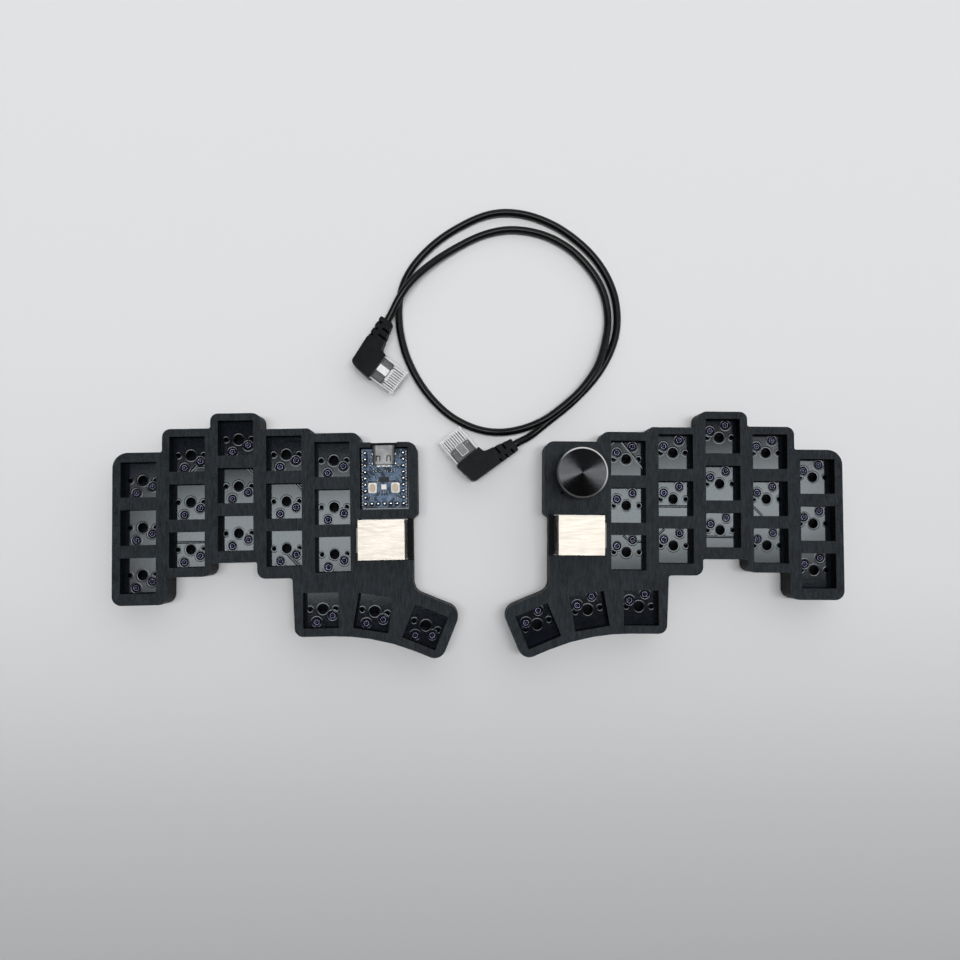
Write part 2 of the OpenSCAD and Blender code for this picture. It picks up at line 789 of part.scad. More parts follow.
module right_inserts() {
    color("#c2a14a") right_half() inserts();
}
module right_feet() {
    color("#18191b") right_half() feet();
}
// Port chip under the right board, with two rows of legs
module port_chip() {
    size = [10.2, 5.3, 1.5];
    leg = [0.3, 1.1, 0.3];
    legs = 14;
    color("#27282b") right_half() translate([enc_at.x, enc_at.y - 11.9, z_pcb]) {
        translate([-size.x / 2, -size.y / 2, -size.z - 0.1]) cube(size);
        for (s = [0, 1]) mirror([0, s, 0]) for (i = [0:legs - 1])
            translate([(i - (legs - 1) / 2) * 0.65 - leg.x / 2, size.y / 2 - 0.1, -leg.z]) cube(leg);
    }
}

// Plugs: nose at the origin, body towards -X, cable leaving towards +Y
body_low = (boot_h - plug_h) / 2;
body_top = body_low + plug_h;
tail = [6.4, 9, 5];
blade = [4, 0.4, 3];
blade_back = -5.2;
blade_low = 0.3;
hinge_x = -1;
hinge_d = 1.2;
exit_z = boot_h / 2;
boot_shape = [
    [-plug_l, -5.9, 0.6], [-21.2, -4.9, 2], [-23, 17.7, 0.6], [-17.6, 18.2, 0.4],
    [-14.4, 6.4, 1], [-plug_l, 5.9, 0.4]
];
exit_a = boot_shape[2];
exit_b = boot_shape[3];
exit_mid = [(exit_a.x + exit_b.x) / 2, (exit_a.y + exit_b.y) / 2];
exit_dir = unit([exit_a.y - exit_b.y, exit_b.x - exit_a.x]);
module plug_a() {
    translate([plug_a_at.x, plug_a_at.y, 0]) rotate(plug_a_turn) children();
}
module plug_b() {
    translate([plug_b_at.x, plug_b_at.y, 0]) rotate(plug_b_turn) mirror([0, 1, 0]) children();
}
module plug_tail() {
    translate([-plug_l - tail.x, -tail.y / 2, body_low + (plug_h - tail.z) / 2]) cube(tail);
}
// Moulded boot with a thinner, slotted strain relief
module plug_boot() {
    relief_h = 6;
    shoulder = 7.6;
    slot = 0.9;
    back_slots = [9, 12, 15];
    front_slots = [10.5, 13.5];
    back_slot_end = -20.7;
    front_slot_end = -19.4;
    past = 30;
    color("#232427") difference() {
        linear_extrude(boot_h) polygon(rounded(boot_shape));
        plug_tail();
        for (z = [-boot_h + (boot_h - relief_h) / 2, (boot_h + relief_h) / 2])
            box_between([-past, shoulder, z], [0, past, z + boot_h]);
        for (y = back_slots) box_between([-past, y, -e], [back_slot_end, y + slot, boot_h + e]);
        for (y = front_slots) box_between([front_slot_end, y, -e], [0, y + slot, boot_h + e]);
    }
}
// Side profile of the clear body, extruded across its width
module plug_body() {
    profile = [
        [-plug_l, body_low], [-0.6, body_low], [0, body_low + 0.6], [0, body_top - 0.9],
        [-0.5, body_top], [-plug_l, body_top]
    ];
    channel = [5.5, 8.4, 2.6];
    color("#dfe6ea") difference() {
        union() {
            rotate([90, 0, 0]) linear_extrude(plug_w, center = true) polygon(profile);
            plug_tail();
        }
        for (i = [0:contact_n - 1]) translate([blade_back, contact_y(i) - blade.y / 2, body_low - e])
            cube([blade.x, blade.y, blade.z + blade_low + e]);
        translate([-plug_l + 0.6, -channel.y / 2, body_low + 2.6]) cube(channel);
        translate([hinge_x, 0, body_top]) rotate([90, 0, 0])
            cylinder(d = hinge_d + 2 * run_fit, h = plug_w + e, center = true);
    }
}
module plug_contacts() {
    color("#d9b45a") for (i = [0:contact_n - 1])
        translate([blade_back, contact_y(i) - blade.y / 2, body_low + blade_low]) cube(blade);
}
// Latch lever: a round root in the body's groove, a wide catch and a narrow thumb end
module plug_latch() {
    root_w = 6;
    lever_w = 3.4;
    catch_end = -5.4;
    tip = -plug_l + 0.9;
    profile = [
        [hinge_x, 0], [hinge_x, hinge_d / 2], [-4.6, 2], [-6.6, 2.4], [tip, 3.1], [tip, 2.3],
        [-6.6, 1.5], [-4.6, 1.2], [hinge_x - 0.9, 0.4]
    ];
    color("#e4eaee") translate([0, 0, body_top]) {
        difference() {
            rotate([90, 0, 0]) linear_extrude(root_w, center = true) polygon(profile);
            for (s = [-1, 1])
                translate([-plug_l, s * (root_w + lever_w) / 2 - root_w / 2, -e])
                    cube([plug_l + catch_end, root_w, plug_h]);
        }
        translate([hinge_x, 0, 0]) rotate([90, 0, 0]) cylinder(d = hinge_d, h = root_w, center = true);
    }
}
module plug_a_boot() {
    plug_a() plug_boot();
}
module plug_a_body() {
    plug_a() plug_body();
}
module plug_a_contacts() {
    plug_a() plug_contacts();
}
module plug_a_latch() {
    plug_a() plug_latch();
}
module plug_b_boot() {
    plug_b() plug_boot();
}
module plug_b_body() {
    plug_b() plug_body();
}
module plug_b_contacts() {
    plug_b() plug_contacts();
}
module plug_b_latch() {
    plug_b() plug_latch();
}

// Link cable: from the first plug round to the second, points chosen along its run
lie = cable_d / 2 + 0.05;
over = 5.4;
exit_from = plug_a_at + turned(exit_mid, plug_a_turn);
exit_to = plug_b_at + turned([exit_mid.x, -exit_mid.y], plug_b_turn);
start_dir = turned(exit_dir, plug_a_turn);
end_dir = -turned([exit_dir.x, -exit_dir.y], plug_b_turn);
route = concat(
    [[exit_from.x, exit_from.y, exit_z]],
    [
        [-32.6, 97.85, over], [-27.6, 104.65, over - 0.2], [-20, 111.85, 3.8],
        [-10, 118.95, 2.2], [2, 124.95, lie], [14, 127.15, lie], [27, 124.95, lie],
        [38.5, 118.65, lie], [47.5, 108.95, lie], [52.2, 99.45, lie], [53.7, 89.15, lie],
        [52.3, 79.65, 2.8], [48.8, 69.15, 4.8], [42.3, 59.65, over], [34.2, 52.05, over],
        [25.2, 45.85, over], [15, 42.35, 4.2], [5, 41.85, 2.2], [-5, 44.55, lie],
        [-15, 50.85, lie], [-24.3, 61.65, lie], [-31, 75.65, lie], [-33.5, 90.65, lie],
        [-31.6, 103.65, lie], [-24.8, 114.85, lie], [-13, 125.25, lie], [3, 133.25, lie],
        [17, 134.05, lie], [31, 129.35, lie], [43, 120.85, lie], [51.4, 110.95, lie],
        [56.5, 99.25, lie], [57.5, 86.65, lie], [54.6, 75.45, lie], [48.2, 64.65, lie],
        [38.5, 54.35, lie], [28, 45.85, lie], [20.6, 40.05, 2.1]
    ],
    [[exit_to.x, exit_to.y, exit_z]]
);
route_n = len(route);
function run_dir(i) =
    i == 0 ? [start_dir.x, start_dir.y, 0] * norm(route[1] - route[0])
    : i == route_n - 1 ? [end_dir.x, end_dir.y, 0] * norm(route[i] - route[i - 1])
    : (route[i + 1] - route[i - 1]) / 2;
// Smooth curve through the points
function run_at(i, t) =
    let (a = route[i], b = route[i + 1], da = run_dir(i), db = run_dir(i + 1), s = 1 - t)
    a * (1 + 2 * t) * s * s + b * (3 - 2 * t) * t * t + da * t * s * s - db * t * t * s;
cable_line = concat(
    [for (i = [0:route_n - 2]) for (t = [0, 0.5]) run_at(i, t)],
    [route[route_n - 1]]
);
line_n = len(cable_line);
function line_dir(i) =
    i == 0 ? unit(run_dir(0))
    : i == line_n - 1 ? unit(run_dir(route_n - 1))
    : unit(cable_line[i + 1] - cable_line[i - 1]);
cable_sides = 8;
module link_cable() {
    ring_r = cable_d / 2 / cos(180 / cable_sides);
    points = [
        for (i = [0:line_n - 1])
        let (
            across = unit(cross(line_dir(i), [0, 0, 1])),
            up = cross(across, line_dir(i))
        )
        for (k = [0:cable_sides - 1])
        let (a = 360 * (k + 0.5) / cable_sides)
        cable_line[i] + ring_r * (cos(a) * across + sin(a) * up)
    ];
    around = [
        for (i = [0:line_n - 2]) for (k = [0:cable_sides - 1])
        let (next = (k + 1) % cable_sides, a = i * cable_sides, b = a + cable_sides)
        [a + k, a + next, b + next, b + k]
    ];
    first = [for (k = [cable_sides - 1:-1:0]) k];
    last = [for (k = [0:cable_sides - 1]) (line_n - 1) * cable_sides + k];
    color("#222326") polyhedron(points, concat([first], around, [last]));
}
line_steps = [for (i = [1:line_n - 1]) norm(cable_line[i] - cable_line[i - 1])];
cable_gap = min([
    for (i = [0:line_n - 9]) for (j = [i + 8:line_n - 1]) norm(cable_line[i] - cable_line[j])
]) - cable_d;
echo(cable_length = line_steps * [for (s = line_steps) 1], least_cable_gap = cable_gap);

left_top_case();
left_bottom_plate();
left_pcb();
left_hotswap_sockets();
left_socket_contacts();
left_diodes();
left_jack_shield();
left_jack_housing();
left_jack_contacts();
left_screws();
left_inserts();
left_feet();
controller_board();
header_strips();
header_pins();
usb_shell();
usb_tongue();
button_frames();
boot_button();
reset_button();
controller_chip();
status_led();
right_top_case();
right_bottom_plate();
right_pcb();
right_hotswap_sockets();
right_socket_contacts();
right_diodes();
right_jack_shield();
right_jack_housing();
right_jack_contacts();
right_screws();
right_inserts();
right_feet();
port_chip();
encoder_housing();
encoder_bracket();
encoder_bushing();
encoder_shaft();
encoder_plunger();
encoder_terminals();
knob();
knob_set_screw();
link_cable();
plug_a_boot();
plug_a_body();
plug_a_contacts();
plug_a_latch();
plug_b_boot();
plug_b_body();
plug_b_contacts();
plug_b_latch();
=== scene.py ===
"""Looks for the split keyboard kit: finishes of the nodes, link cable, board details, light and camera."""
import math

import bmesh
import bpy
from mathutils import Matrix, Vector


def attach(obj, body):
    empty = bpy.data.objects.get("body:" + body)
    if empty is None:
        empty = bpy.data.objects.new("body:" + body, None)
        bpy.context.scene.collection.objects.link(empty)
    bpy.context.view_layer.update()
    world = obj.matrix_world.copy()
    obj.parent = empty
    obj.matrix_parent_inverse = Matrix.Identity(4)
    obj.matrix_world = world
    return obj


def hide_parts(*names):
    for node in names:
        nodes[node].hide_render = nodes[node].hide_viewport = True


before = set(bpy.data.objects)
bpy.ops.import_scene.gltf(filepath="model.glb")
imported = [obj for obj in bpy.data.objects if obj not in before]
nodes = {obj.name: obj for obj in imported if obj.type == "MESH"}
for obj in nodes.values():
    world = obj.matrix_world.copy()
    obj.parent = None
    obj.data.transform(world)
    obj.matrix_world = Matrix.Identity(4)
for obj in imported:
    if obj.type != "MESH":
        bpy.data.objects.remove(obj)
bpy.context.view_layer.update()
scene = bpy.context.scene
MM = 0.001

# Placing of the halves and levels above the table, in millimetres, as in the part's source
HALF_AT = (97.6, 19.8)
TOE = math.radians(0.73)
Z_PCB_TOP = 6.6
Z_TOP = 11.6
Z_JACK = 19.6
PITCH = (19.15, 19.0)
COLUMN_SHIFT = (-16.05, -6.15, 0.0, -6.45, -9.2)
THUMB_KEYS = ((33.4, -50.1, 0.0), (54.1, -51.5, -10.0), (74.5, -57.5, -23.0))

# Holes under each key: the middle one, the pegs beside it and the switch sockets
MIDDLE_R = 2.0
PEG_R = 0.9
PEG_REACH = 5.08
SOCKETS = ((-2.54, 5.08), (3.81, 2.54))

# Soft edge of the solder mask round a hole: distance from the hole, height over the board
LIP = (
    (0.8, -0.003), (0.62, 0.005), (0.48, 0.0105), (0.4, 0.012), (0.3, 0.01), (0.15, 0.004), (0.0, -0.003),
)

# Switch socket: its barrel, the rim of the metal clip in it and the clip's two leaves
COLLAR_R = 1.76
CLIP_RIM = 1.14
CLIP_OUT = 0.88
CLIP_R = 0.75
LEAF_R = 0.5
LEAF_DEPTH = 0.34
LEAF_DROP = 0.2
LEAF_TURN = 70

# Controller, measured from its middle
CTRL_AT = (58.95, 1.9)
CTRL_SIDE = 9.0
Z_CTRL_TOP = 10.34
HEADER_PITCH = 2.54
HEADER_REACH = 3 * HEADER_PITCH
SIDE_PINS = 9
END_PINS = 5
PIN_LOW = 3.6
PIN_STEPS = 20
PAD_STEPS = 14
USB_BACK = 5.3
USB_SIDE = 4.55
USB_TABS = (0.6, 4.4)
USB_TAB_SIZE = (0.9, 1.3, 0.55)
USB_LEADS = 12
USB_LEAD_PITCH = 0.5
USB_LEAD_OUT = 0.35
USB_LEAD_SIZE = (0.28, 0.9, 0.14)
LED_AT = (-0.15, -3.5)
BUTTONS = ((-4.65, -3.9), (4.45, -3.9))
FRAME_SIZE = (3.4, 4.2, 1.4)
FRAME_FLOOR = 0.4
CAP_HOLE = (2.16, 3.16)
PASSIVE_SIZE = (0.56, 0.5, 0.34)
PASSIVE_END = (0.28, 0.56, 0.38)
PASSIVE_REACH = 0.4

# Small parts of the controller: middle and turn
PASSIVES = (
    (-4.4, 3.2, 90), (-3.1, 3.2, 90), (-1.3, 2.9, 0), (0.9, 2.9, 0), (2.9, 3.2, 90), (4.2, 3.2, 90),
    (-3.6, 0.6, 0), (3.3, 0.6, 0), (-2.9, -1.3, 90), (2.6, -1.3, 90), (-0.9, -5.6, 0), (0.7, -5.6, 0),
    (5.6, 5.6, 90), (-5.6, 5.6, 90), (5.6, 8.6, 0), (-5.6, 8.6, 0), (-5.0, -8.0, 0), (4.8, -8.0, 0),
)

# Copper of the controller: width, rise and foot of a line, the lines of one side, which are mirrored, and
# the outline of a flat patch
CTRL_TRACK_SIZE = (0.24, 0.03, 0.1)
CTRL_TRACKS = (
    ((6.7, 10.2), (6.2, 9.7), (6.2, 4.4), (3.7, 1.9), (1.4, 1.9), (1.4, 0.8)),
    ((6.7, 7.4), (5.0, 5.7), (5.0, 4.4), (2.6, 2.2), (2.0, 2.2), (2.0, 0.6)),
    ((6.7, 2.5), (5.3, 1.1), (4.4, 1.1), (3.4, 0.1), (1.9, 0.1)),
    ((6.7, 0.0), (5.9, -0.8), (4.6, -0.8), (4.2, -0.4), (1.9, -0.4)),
    ((6.7, -7.6), (5.4, -6.4), (3.6, -6.4), (2.2, -5.0), (2.2, -2.6), (1.6, -2.0), (1.6, -1.6)),
    ((5.1, -9.3), (5.1, -8.4), (3.9, -7.2), (2.4, -7.2), (1.5, -6.3), (1.5, -4.8)),
    ((2.5, -9.3), (2.5, -8.6), (0.5, -6.6), (0.5, -4.7)),
)
CTRL_POUR = (
    (-2.4, -9.0), (-1.4, -9.0), (-0.7, -8.2), (0.7, -8.2), (1.4, -9.0),
    (2.0, -9.0), (3.2, -7.8), (2.3, -6.9), (-2.3, -6.9), (-3.4, -7.9),
)

# Middle of the encoder's knob in the right half
ENC_AT = (58.6, 2.95)

# Copper lines that show through the solder mask in the wells: key number, then points from its middle
LEFT_TRACKS = (
    (3, ((-0.3, -6.9), (2.2, -4.4))), (3, ((0.9, -6.9), (2.9, -4.9), (6.9, -4.9))),
    (7, ((3.6, 6.9), (6.9, 3.6))), (7, ((4.7, 6.9), (6.9, 4.7))),
    (10, ((3.4, 6.9), (6.9, 3.4))), (10, ((4.5, 6.9), (6.9, 4.5))),
    (11, ((0.4, -2.6), (4.5, -6.9))), (11, ((1.5, -2.6), (5.6, -6.9))),
    (5, ((-6.9, 2.9), (6.9, 2.9))),
)
RIGHT_TRACKS = (
    (10, ((-6.9, -3.0), (6.9, -3.0))), (8, ((-6.9, -2.8), (6.9, -2.6))), (4, ((5.6, -3.0), (1.7, -6.9))),
    (11, ((6.6, 3.9), (3.6, 6.9))), (12, ((6.9, 5.4), (5.0, 6.9))), (12, ((1.7, 6.9), (-6.9, -3.7))),
    (14, ((1.4, 6.9), (-1.1, 4.7), (-6.9, 4.2))),
)

# Plugs: place of the nose and turn. What shows in them is measured back from the nose
PLUG_A = ((-32.6, 61.25), -36.9)
PLUG_B = ((-12.8, 40.25), 130.1)
PLUG_TOP = 7.6
EXIT_Z = 4.3
BOOT_END = ((-23.0, 17.7), (-17.6, 18.2))
BOOT_EDGE = 0.35
BOOT_EDGE_STEPS = 3
BOOT_EDGE_ANGLE = math.radians(40)
RELIEF = ((-14.75, 7.2), (-17.6, 17.9), (-22.85, 17.4), (-22.05, 7.2))
RELIEF_LEVELS = (1.8, 6.6)
CONTACTS = 8
CONTACT_PITCH = 1.02
CORE_LOW = 3.75
COMB_LOW = PLUG_TOP - 1.0
JACKET_X = -9.25
JACKET_SIZE = (4.3, 9.4, 1.9)
WIRE_X = -6.5
WIRE_SIZE = (1.2, 0.5, 0.6)
SLOT_X = -3.4
SLOT_SIZE = (4.4, 0.5, 0.3)
RIB_X = -3.2
RIB_SIZE = (5.0, 0.56, 0.5)

# Bars in the plugs: middle along and across, length and width; then their heights, and a point of the latch
# lever's middle line, over the body, with its slope
WINDOW_BARS = (
    (-9.0, -4.45, 4.8, 0.5), (-9.0, 4.45, 4.8, 0.5), (-6.5, -3.2, 0.4, 2.6), (-6.5, 3.2, 0.4, 2.6),
)
# The pale bars below, along the body's edges and in the latch lever, are painted highlights of the clear
# plastic.
SIDE_BARS = ((-6.0, -5.1, 10.8, 0.4), (-6.0, 5.1, 10.8, 0.4), (-0.45, 0, 0.45, 11.0))
CROSS_BAR = ((-5.6, 0, 1.0, 5.4),)
LEVER_CORE = ((-8.35, 0, 4.5, 2.9),)
LEVER_BARS = (
    (-8.05, -1.55, 5.1, 0.25), (-8.05, 1.55, 5.1, 0.25), (-10.5, 0, 0.25, 3.1), (-5.6, 0, 0.25, 3.1),
)
WINDOW_TALL = 0.4
WINDOW_LOW = PLUG_TOP - 0.6
BAR_TALL = 0.3
BAR_LOW = PLUG_TOP - 0.45
LEVER_AT = (-6.6, 1.95)
LEVER_SLOPE = -0.18

# Link cable: thickness, level on the table and where it crosses itself, and the route of the part's source
CABLE_D = 3.1
LIE = 1.6
OVER = 5.4
ROUTE = (
    (-32.6, 97.85, OVER), (-27.6, 104.65, OVER - 0.2), (-20, 111.85, 3.8),
    (-10, 118.95, 2.2), (2, 124.95, LIE), (14, 127.15, LIE), (27, 124.95, LIE),
    (38.5, 118.65, LIE), (47.5, 108.95, LIE), (52.2, 99.45, LIE), (53.7, 89.15, LIE),
    (52.3, 79.65, 2.8), (48.8, 69.15, 4.8), (42.3, 59.65, OVER), (34.2, 52.05, OVER),
    (25.2, 45.85, OVER), (15, 42.35, 4.2), (5, 41.85, 2.2), (-5, 44.55, LIE),
    (-15, 50.85, LIE), (-24.3, 61.65, LIE), (-31, 75.65, LIE), (-33.5, 90.65, LIE),
    (-31.6, 103.65, LIE), (-24.8, 114.85, LIE), (-13, 125.25, LIE), (3, 133.25, LIE),
    (17, 134.05, LIE), (31, 129.35, LIE), (43, 120.85, LIE), (51.4, 110.95, LIE),
    (56.5, 99.25, LIE), (57.5, 86.65, LIE), (54.6, 75.45, LIE), (48.2, 64.65, LIE),
    (38.5, 54.35, LIE), (28, 45.85, LIE), (20.6, 40.05, 2.1),
)
SPAN_STEPS = 8

# Camera of the photograph: focal length in pixels of a 960 pixel frame, place and tilts
FRAME_PX = 960
FOCAL_PX = 844.72
CAMERA_AT = (-7.95, 1.96, 348.9)
TILT_X = 0.057947
TILT_Y = -0.022113
YAW = math.radians(-0.287)

# Light: one long soft panel overhead, placed by its slopes from straight up, and a dim room that is paler
# to the far right
PANEL_AT = (0.05, 0.011)
PANEL_X = (0.34, 0.5)
PANEL_Y = (0.015, 0.1)
PANEL_SLOPE = 0.054
PANEL_LIGHT = 19.0
PANEL_LOW = 0.1
SLOPE_LOW = 0.02
LIGHT_COLOR = (0.985, 0.995, 1.0, 1.0)
ROOM_WAY = (0.6, 0.8)
ROOM_EDGE = (-0.1, 0.9)
ROOM_DARK = 0.1
ROOM_PALE = 1.0
BACKDROP = 0.8
HORIZON = (0.05, 0.25)

# Floor, in metres: half its width, how far it lies under the part, and its tones from near to far, which
# are painted shade: a dark band in front of the part, paler behind
FLOOR_REACH = 4.0
FLOOR_DROP = 0.00005
FLOOR_TINT = (1.0, 1.004, 1.012)
FLOOR_SHADE_TONES = (
    (-0.7, 0.86), (-0.4, 0.7), (-0.2, 0.42), (-0.112, 0.575), (-0.066, 0.7), (-0.019, 0.8), (0.09, 0.87),
    (0.22, 0.89),
)


def centred(count, pitch):
    """Even places about zero."""
    return [(i - (count - 1) / 2) * pitch for i in range(count)]


def turned(p, degrees):
    """A point turned about the origin."""
    a = math.radians(degrees)
    return Vector((p[0] * math.cos(a) - p[1] * math.sin(a), p[0] * math.sin(a) + p[1] * math.cos(a)))


def half_matrix(side):
    """Place of a half: side is -1 for the left one, 1 for the right one, which is mirrored."""
    place = Matrix.Translation((side * HALF_AT[0] * MM, HALF_AT[1] * MM, 0))
    flip = Matrix.Diagonal((-side, 1, 1, 1))
    return place @ Matrix.Rotation(-side * TOE, 4, "Z") @ flip


def on_half(side, p):
    """A point of a half, in millimetres of the whole part."""
    at = half_matrix(side) @ Vector((p[0] * MM, p[1] * MM, 0))
    return (at.x / MM, at.y / MM)


def plug_matrix(plug, mirrored):
    """Place of a plug, whose boot bends to its left, or to its right where it is mirrored."""
    (x, y), degrees = plug
    flip = Matrix.Diagonal((1, -1 if mirrored else 1, 1, 1))
    return Matrix.Translation((x * MM, y * MM, 0)) @ Matrix.Rotation(math.radians(degrees), 4, "Z") @ flip


def key_spots():
    """Key middles in a half: place across, place up and turn, in millimetres and degrees."""
    columns = [
        (PITCH[0] * (c - 2), COLUMN_SHIFT[c] - PITCH[1] * r, 0.0) for c in range(5) for r in (-1, 0, 1)
    ]
    return columns + list(THUMB_KEYS)


def key_point(key, p):
    """A point of a half, from its place about a key's middle."""
    at = turned(p, key[2])
    return (key[0] + at.x, key[1] + at.y)


def header_spots():
    """Pins down both sides of the controller and across its near end."""
    rows = centred(SIDE_PINS, HEADER_PITCH)
    sides = [(s * HEADER_REACH, y) for s in (-1, 1) for y in rows]
    return sides + [(x, rows[0]) for x in centred(END_PINS, HEADER_PITCH)]


def on_controller(p):
    """A point of the left half, from its place about the controller's middle."""
    return (CTRL_AT[0] + p[0], CTRL_AT[1] + p[1])


# Mesh helpers; sizes in millimetres
def corner(bm, x, y, z):
    return bm.verts.new((x * MM, y * MM, z * MM))


def skin(bm, rows, closed):
    """Faces between each row of corners and the next."""
    for low, high in zip(rows, rows[1:]):
        count = len(low)
        for i in range(count if closed else count - 1):
            j = (i + 1) % count
            bm.faces.new((low[i], low[j], high[j], high[i]))


def ring(bm, at, profile, steps=28, around=360.0, start=0.0):
    """A turned form about the vertical through at, from (radius, height) points."""
    closed = around >= 360
    count = steps if closed else steps + 1
    angles = [math.radians(start + around * i / steps) for i in range(count)]
    rows = []
    for r, z in profile:
        rows.append([corner(bm, at[0] + r * math.cos(a), at[1] + r * math.sin(a), z) for a in angles])
    skin(bm, rows, closed)


def brick(bm, at, size, z, edge, turn=0.0):
    """A block standing on z, with a chamfered top edge."""
    hx, hy, top = size[0] / 2, size[1] / 2, z + size[2]
    rows = []
    for x, y, level in ((hx, hy, z), (hx, hy, top - edge), (hx - edge, hy - edge, top)):
        places = [turned((sx * x, sy * y), turn) for sx, sy in ((-1, -1), (1, -1), (1, 1), (-1, 1))]
        rows.append([corner(bm, at[0] + p.x, at[1] + p.y, level) for p in places])
    skin(bm, rows, True)
    bm.faces.new(rows[-1])
    bm.faces.new(list(reversed(rows[0])))


def track(bm, points, z, width=0.3, rise=0.035, foot=0.5):
    """A low strip with soft sloped sides along a line of points."""
    half = width / 2
    reaches = ((half + foot, -0.01), (half + 0.4 * foot, 0.3 * rise), (half, rise))
    reaches += tuple((-r, level) for r, level in reversed(reaches))
    rows = []
    for i, p in enumerate(points):
        back = Vector(points[max(i - 1, 0)])
        ahead = Vector(points[min(i + 1, len(points) - 1)])
        side = (ahead - back).normalized().orthogonal()
        rows.append([corner(bm, p[0] + side.x * r, p[1] + side.y * r, z + level) for r, level in reaches])
    skin(bm, rows, False)


def plate(bm, points, z, rise=0.04):
    """A low flat patch with sloped sides."""
    middle = sum((Vector(p) for p in points), Vector((0, 0))) / len(points)
    rows = []
    for grow, level in ((1.0, z), (0.97, z + rise)):
        places = [middle + (Vector(p) - middle) * grow for p in points]
        rows.append([corner(bm, p.x, p.y, level) for p in places])
    skin(bm, rows, True)
    bm.faces.new(rows[-1])


def slab(bm, points, low, high, edge=0.2):
    """A block over an outline, with its top edge drawn in."""
    middle = sum((Vector(p) for p in points), Vector((0, 0))) / len(points)
    rows = []
    for draw, level in ((0.0, low), (0.0, high - edge), (edge, high)):
        places = [Vector(p) + (middle - Vector(p)).normalized() * draw for p in points]
        rows.append([corner(bm, p.x, p.y, level) for p in places])
    skin(bm, rows, True)
    bm.faces.new(rows[-1])
    bm.faces.new(list(reversed(rows[0])))


def bars(bm, spots, tall, z, edge):
    """Flat bars, each from the place of its middle, its length and its width."""
    for x, y, wide, deep in spots:
        brick(bm, (x, y), (wide, deep, tall), z, edge)


def leaves(bm, at, radius, z, turn, drop, steps=8):
    """Two half-round contact leaves that slope down to a slit between them."""
    for way in (0, 180):
        rim = []
        for i in range(steps + 1):
            a = math.radians(10 + 160 * i / steps)
            p = turned((radius * math.cos(a), radius * math.sin(a)), turn + way)
            rim.append(corner(bm, at[0] + p.x, at[1] + p.y, z - drop * (1 - math.sin(a))))
        bm.faces.new(rim)


def rounded(size, radius, steps=6):
    """Outline of a rectangle with round corners."""
    points = []
    for i, (sx, sy) in enumerate(((1, 1), (-1, 1), (-1, -1), (1, -1))):
        middle = (sx * (size[0] / 2 - radius), sy * (size[1] / 2 - radius))
        for k in range(steps + 1):
            a = math.radians(90 * (i + k / steps))
            points.append((middle[0] + radius * math.cos(a), middle[1] + radius * math.sin(a)))
    return points


def piece(name, bm, paint, matrix=None, smooth=False, body="keyboard"):
    """Makes the finished mesh an object that moves with a body."""
    if matrix is not None:
        bm.transform(matrix)
    bmesh.ops.recalc_face_normals(bm, faces=bm.faces)
    mesh = bpy.data.meshes.new(name)
    bm.to_mesh(mesh)
    bm.free()
    mesh.materials.append(paint)
    if smooth:
        mesh.polygons.foreach_set("use_smooth", [True] * len(mesh.polygons))
    obj = bpy.data.objects.new(name, mesh)
    scene.collection.objects.link(obj)
    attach(obj, body)
    return obj


class Nodes:
    """Short ways to add and join the nodes of a tree."""

    def __init__(self, tree):
        self.tree = tree

    def add(self, kind, **settings):
        node = self.tree.nodes.new(kind)
        for key, value in settings.items():
            setattr(node, key, value)
        return node

    def link(self, source, target):
        self.tree.links.new(source, target)

    def math(self, operation, a, b=0.0):
        node = self.add("ShaderNodeMath", operation=operation)
        for socket, value in zip(node.inputs, (a, b)):
            if isinstance(value, (int, float)):
                socket.default_value = value
            else:
                self.link(value, socket)
        return node.outputs[0]

    def vector(self, operation, a, b):
        """A vector from another one and a fixed one."""
        node = self.add("ShaderNodeVectorMath", operation=operation)
        self.link(a, node.inputs[0])
        node.inputs[1].default_value = b
        return node.outputs[0]

    def unit(self, vector):
        node = self.add("ShaderNodeVectorMath", operation="NORMALIZE")
        self.link(vector, node.inputs[0])
        return node.outputs[0]

    def split(self, vector):
        """The three numbers of a vector."""
        node = self.add("ShaderNodeSeparateXYZ")
        self.link(vector, node.inputs[0])
        return [node.outputs[axis] for axis in "XYZ"]

    def remap(self, value, low, high, to_low, to_high, soft=False):
        node = self.add("ShaderNodeMapRange", interpolation_type="SMOOTHSTEP" if soft else "LINEAR")
        self.link(value, node.inputs["Value"])
        for key, number in (("From Min", low), ("From Max", high), ("To Min", to_low), ("To Max", to_high)):
            node.inputs[key].default_value = number
        return node.outputs["Result"]


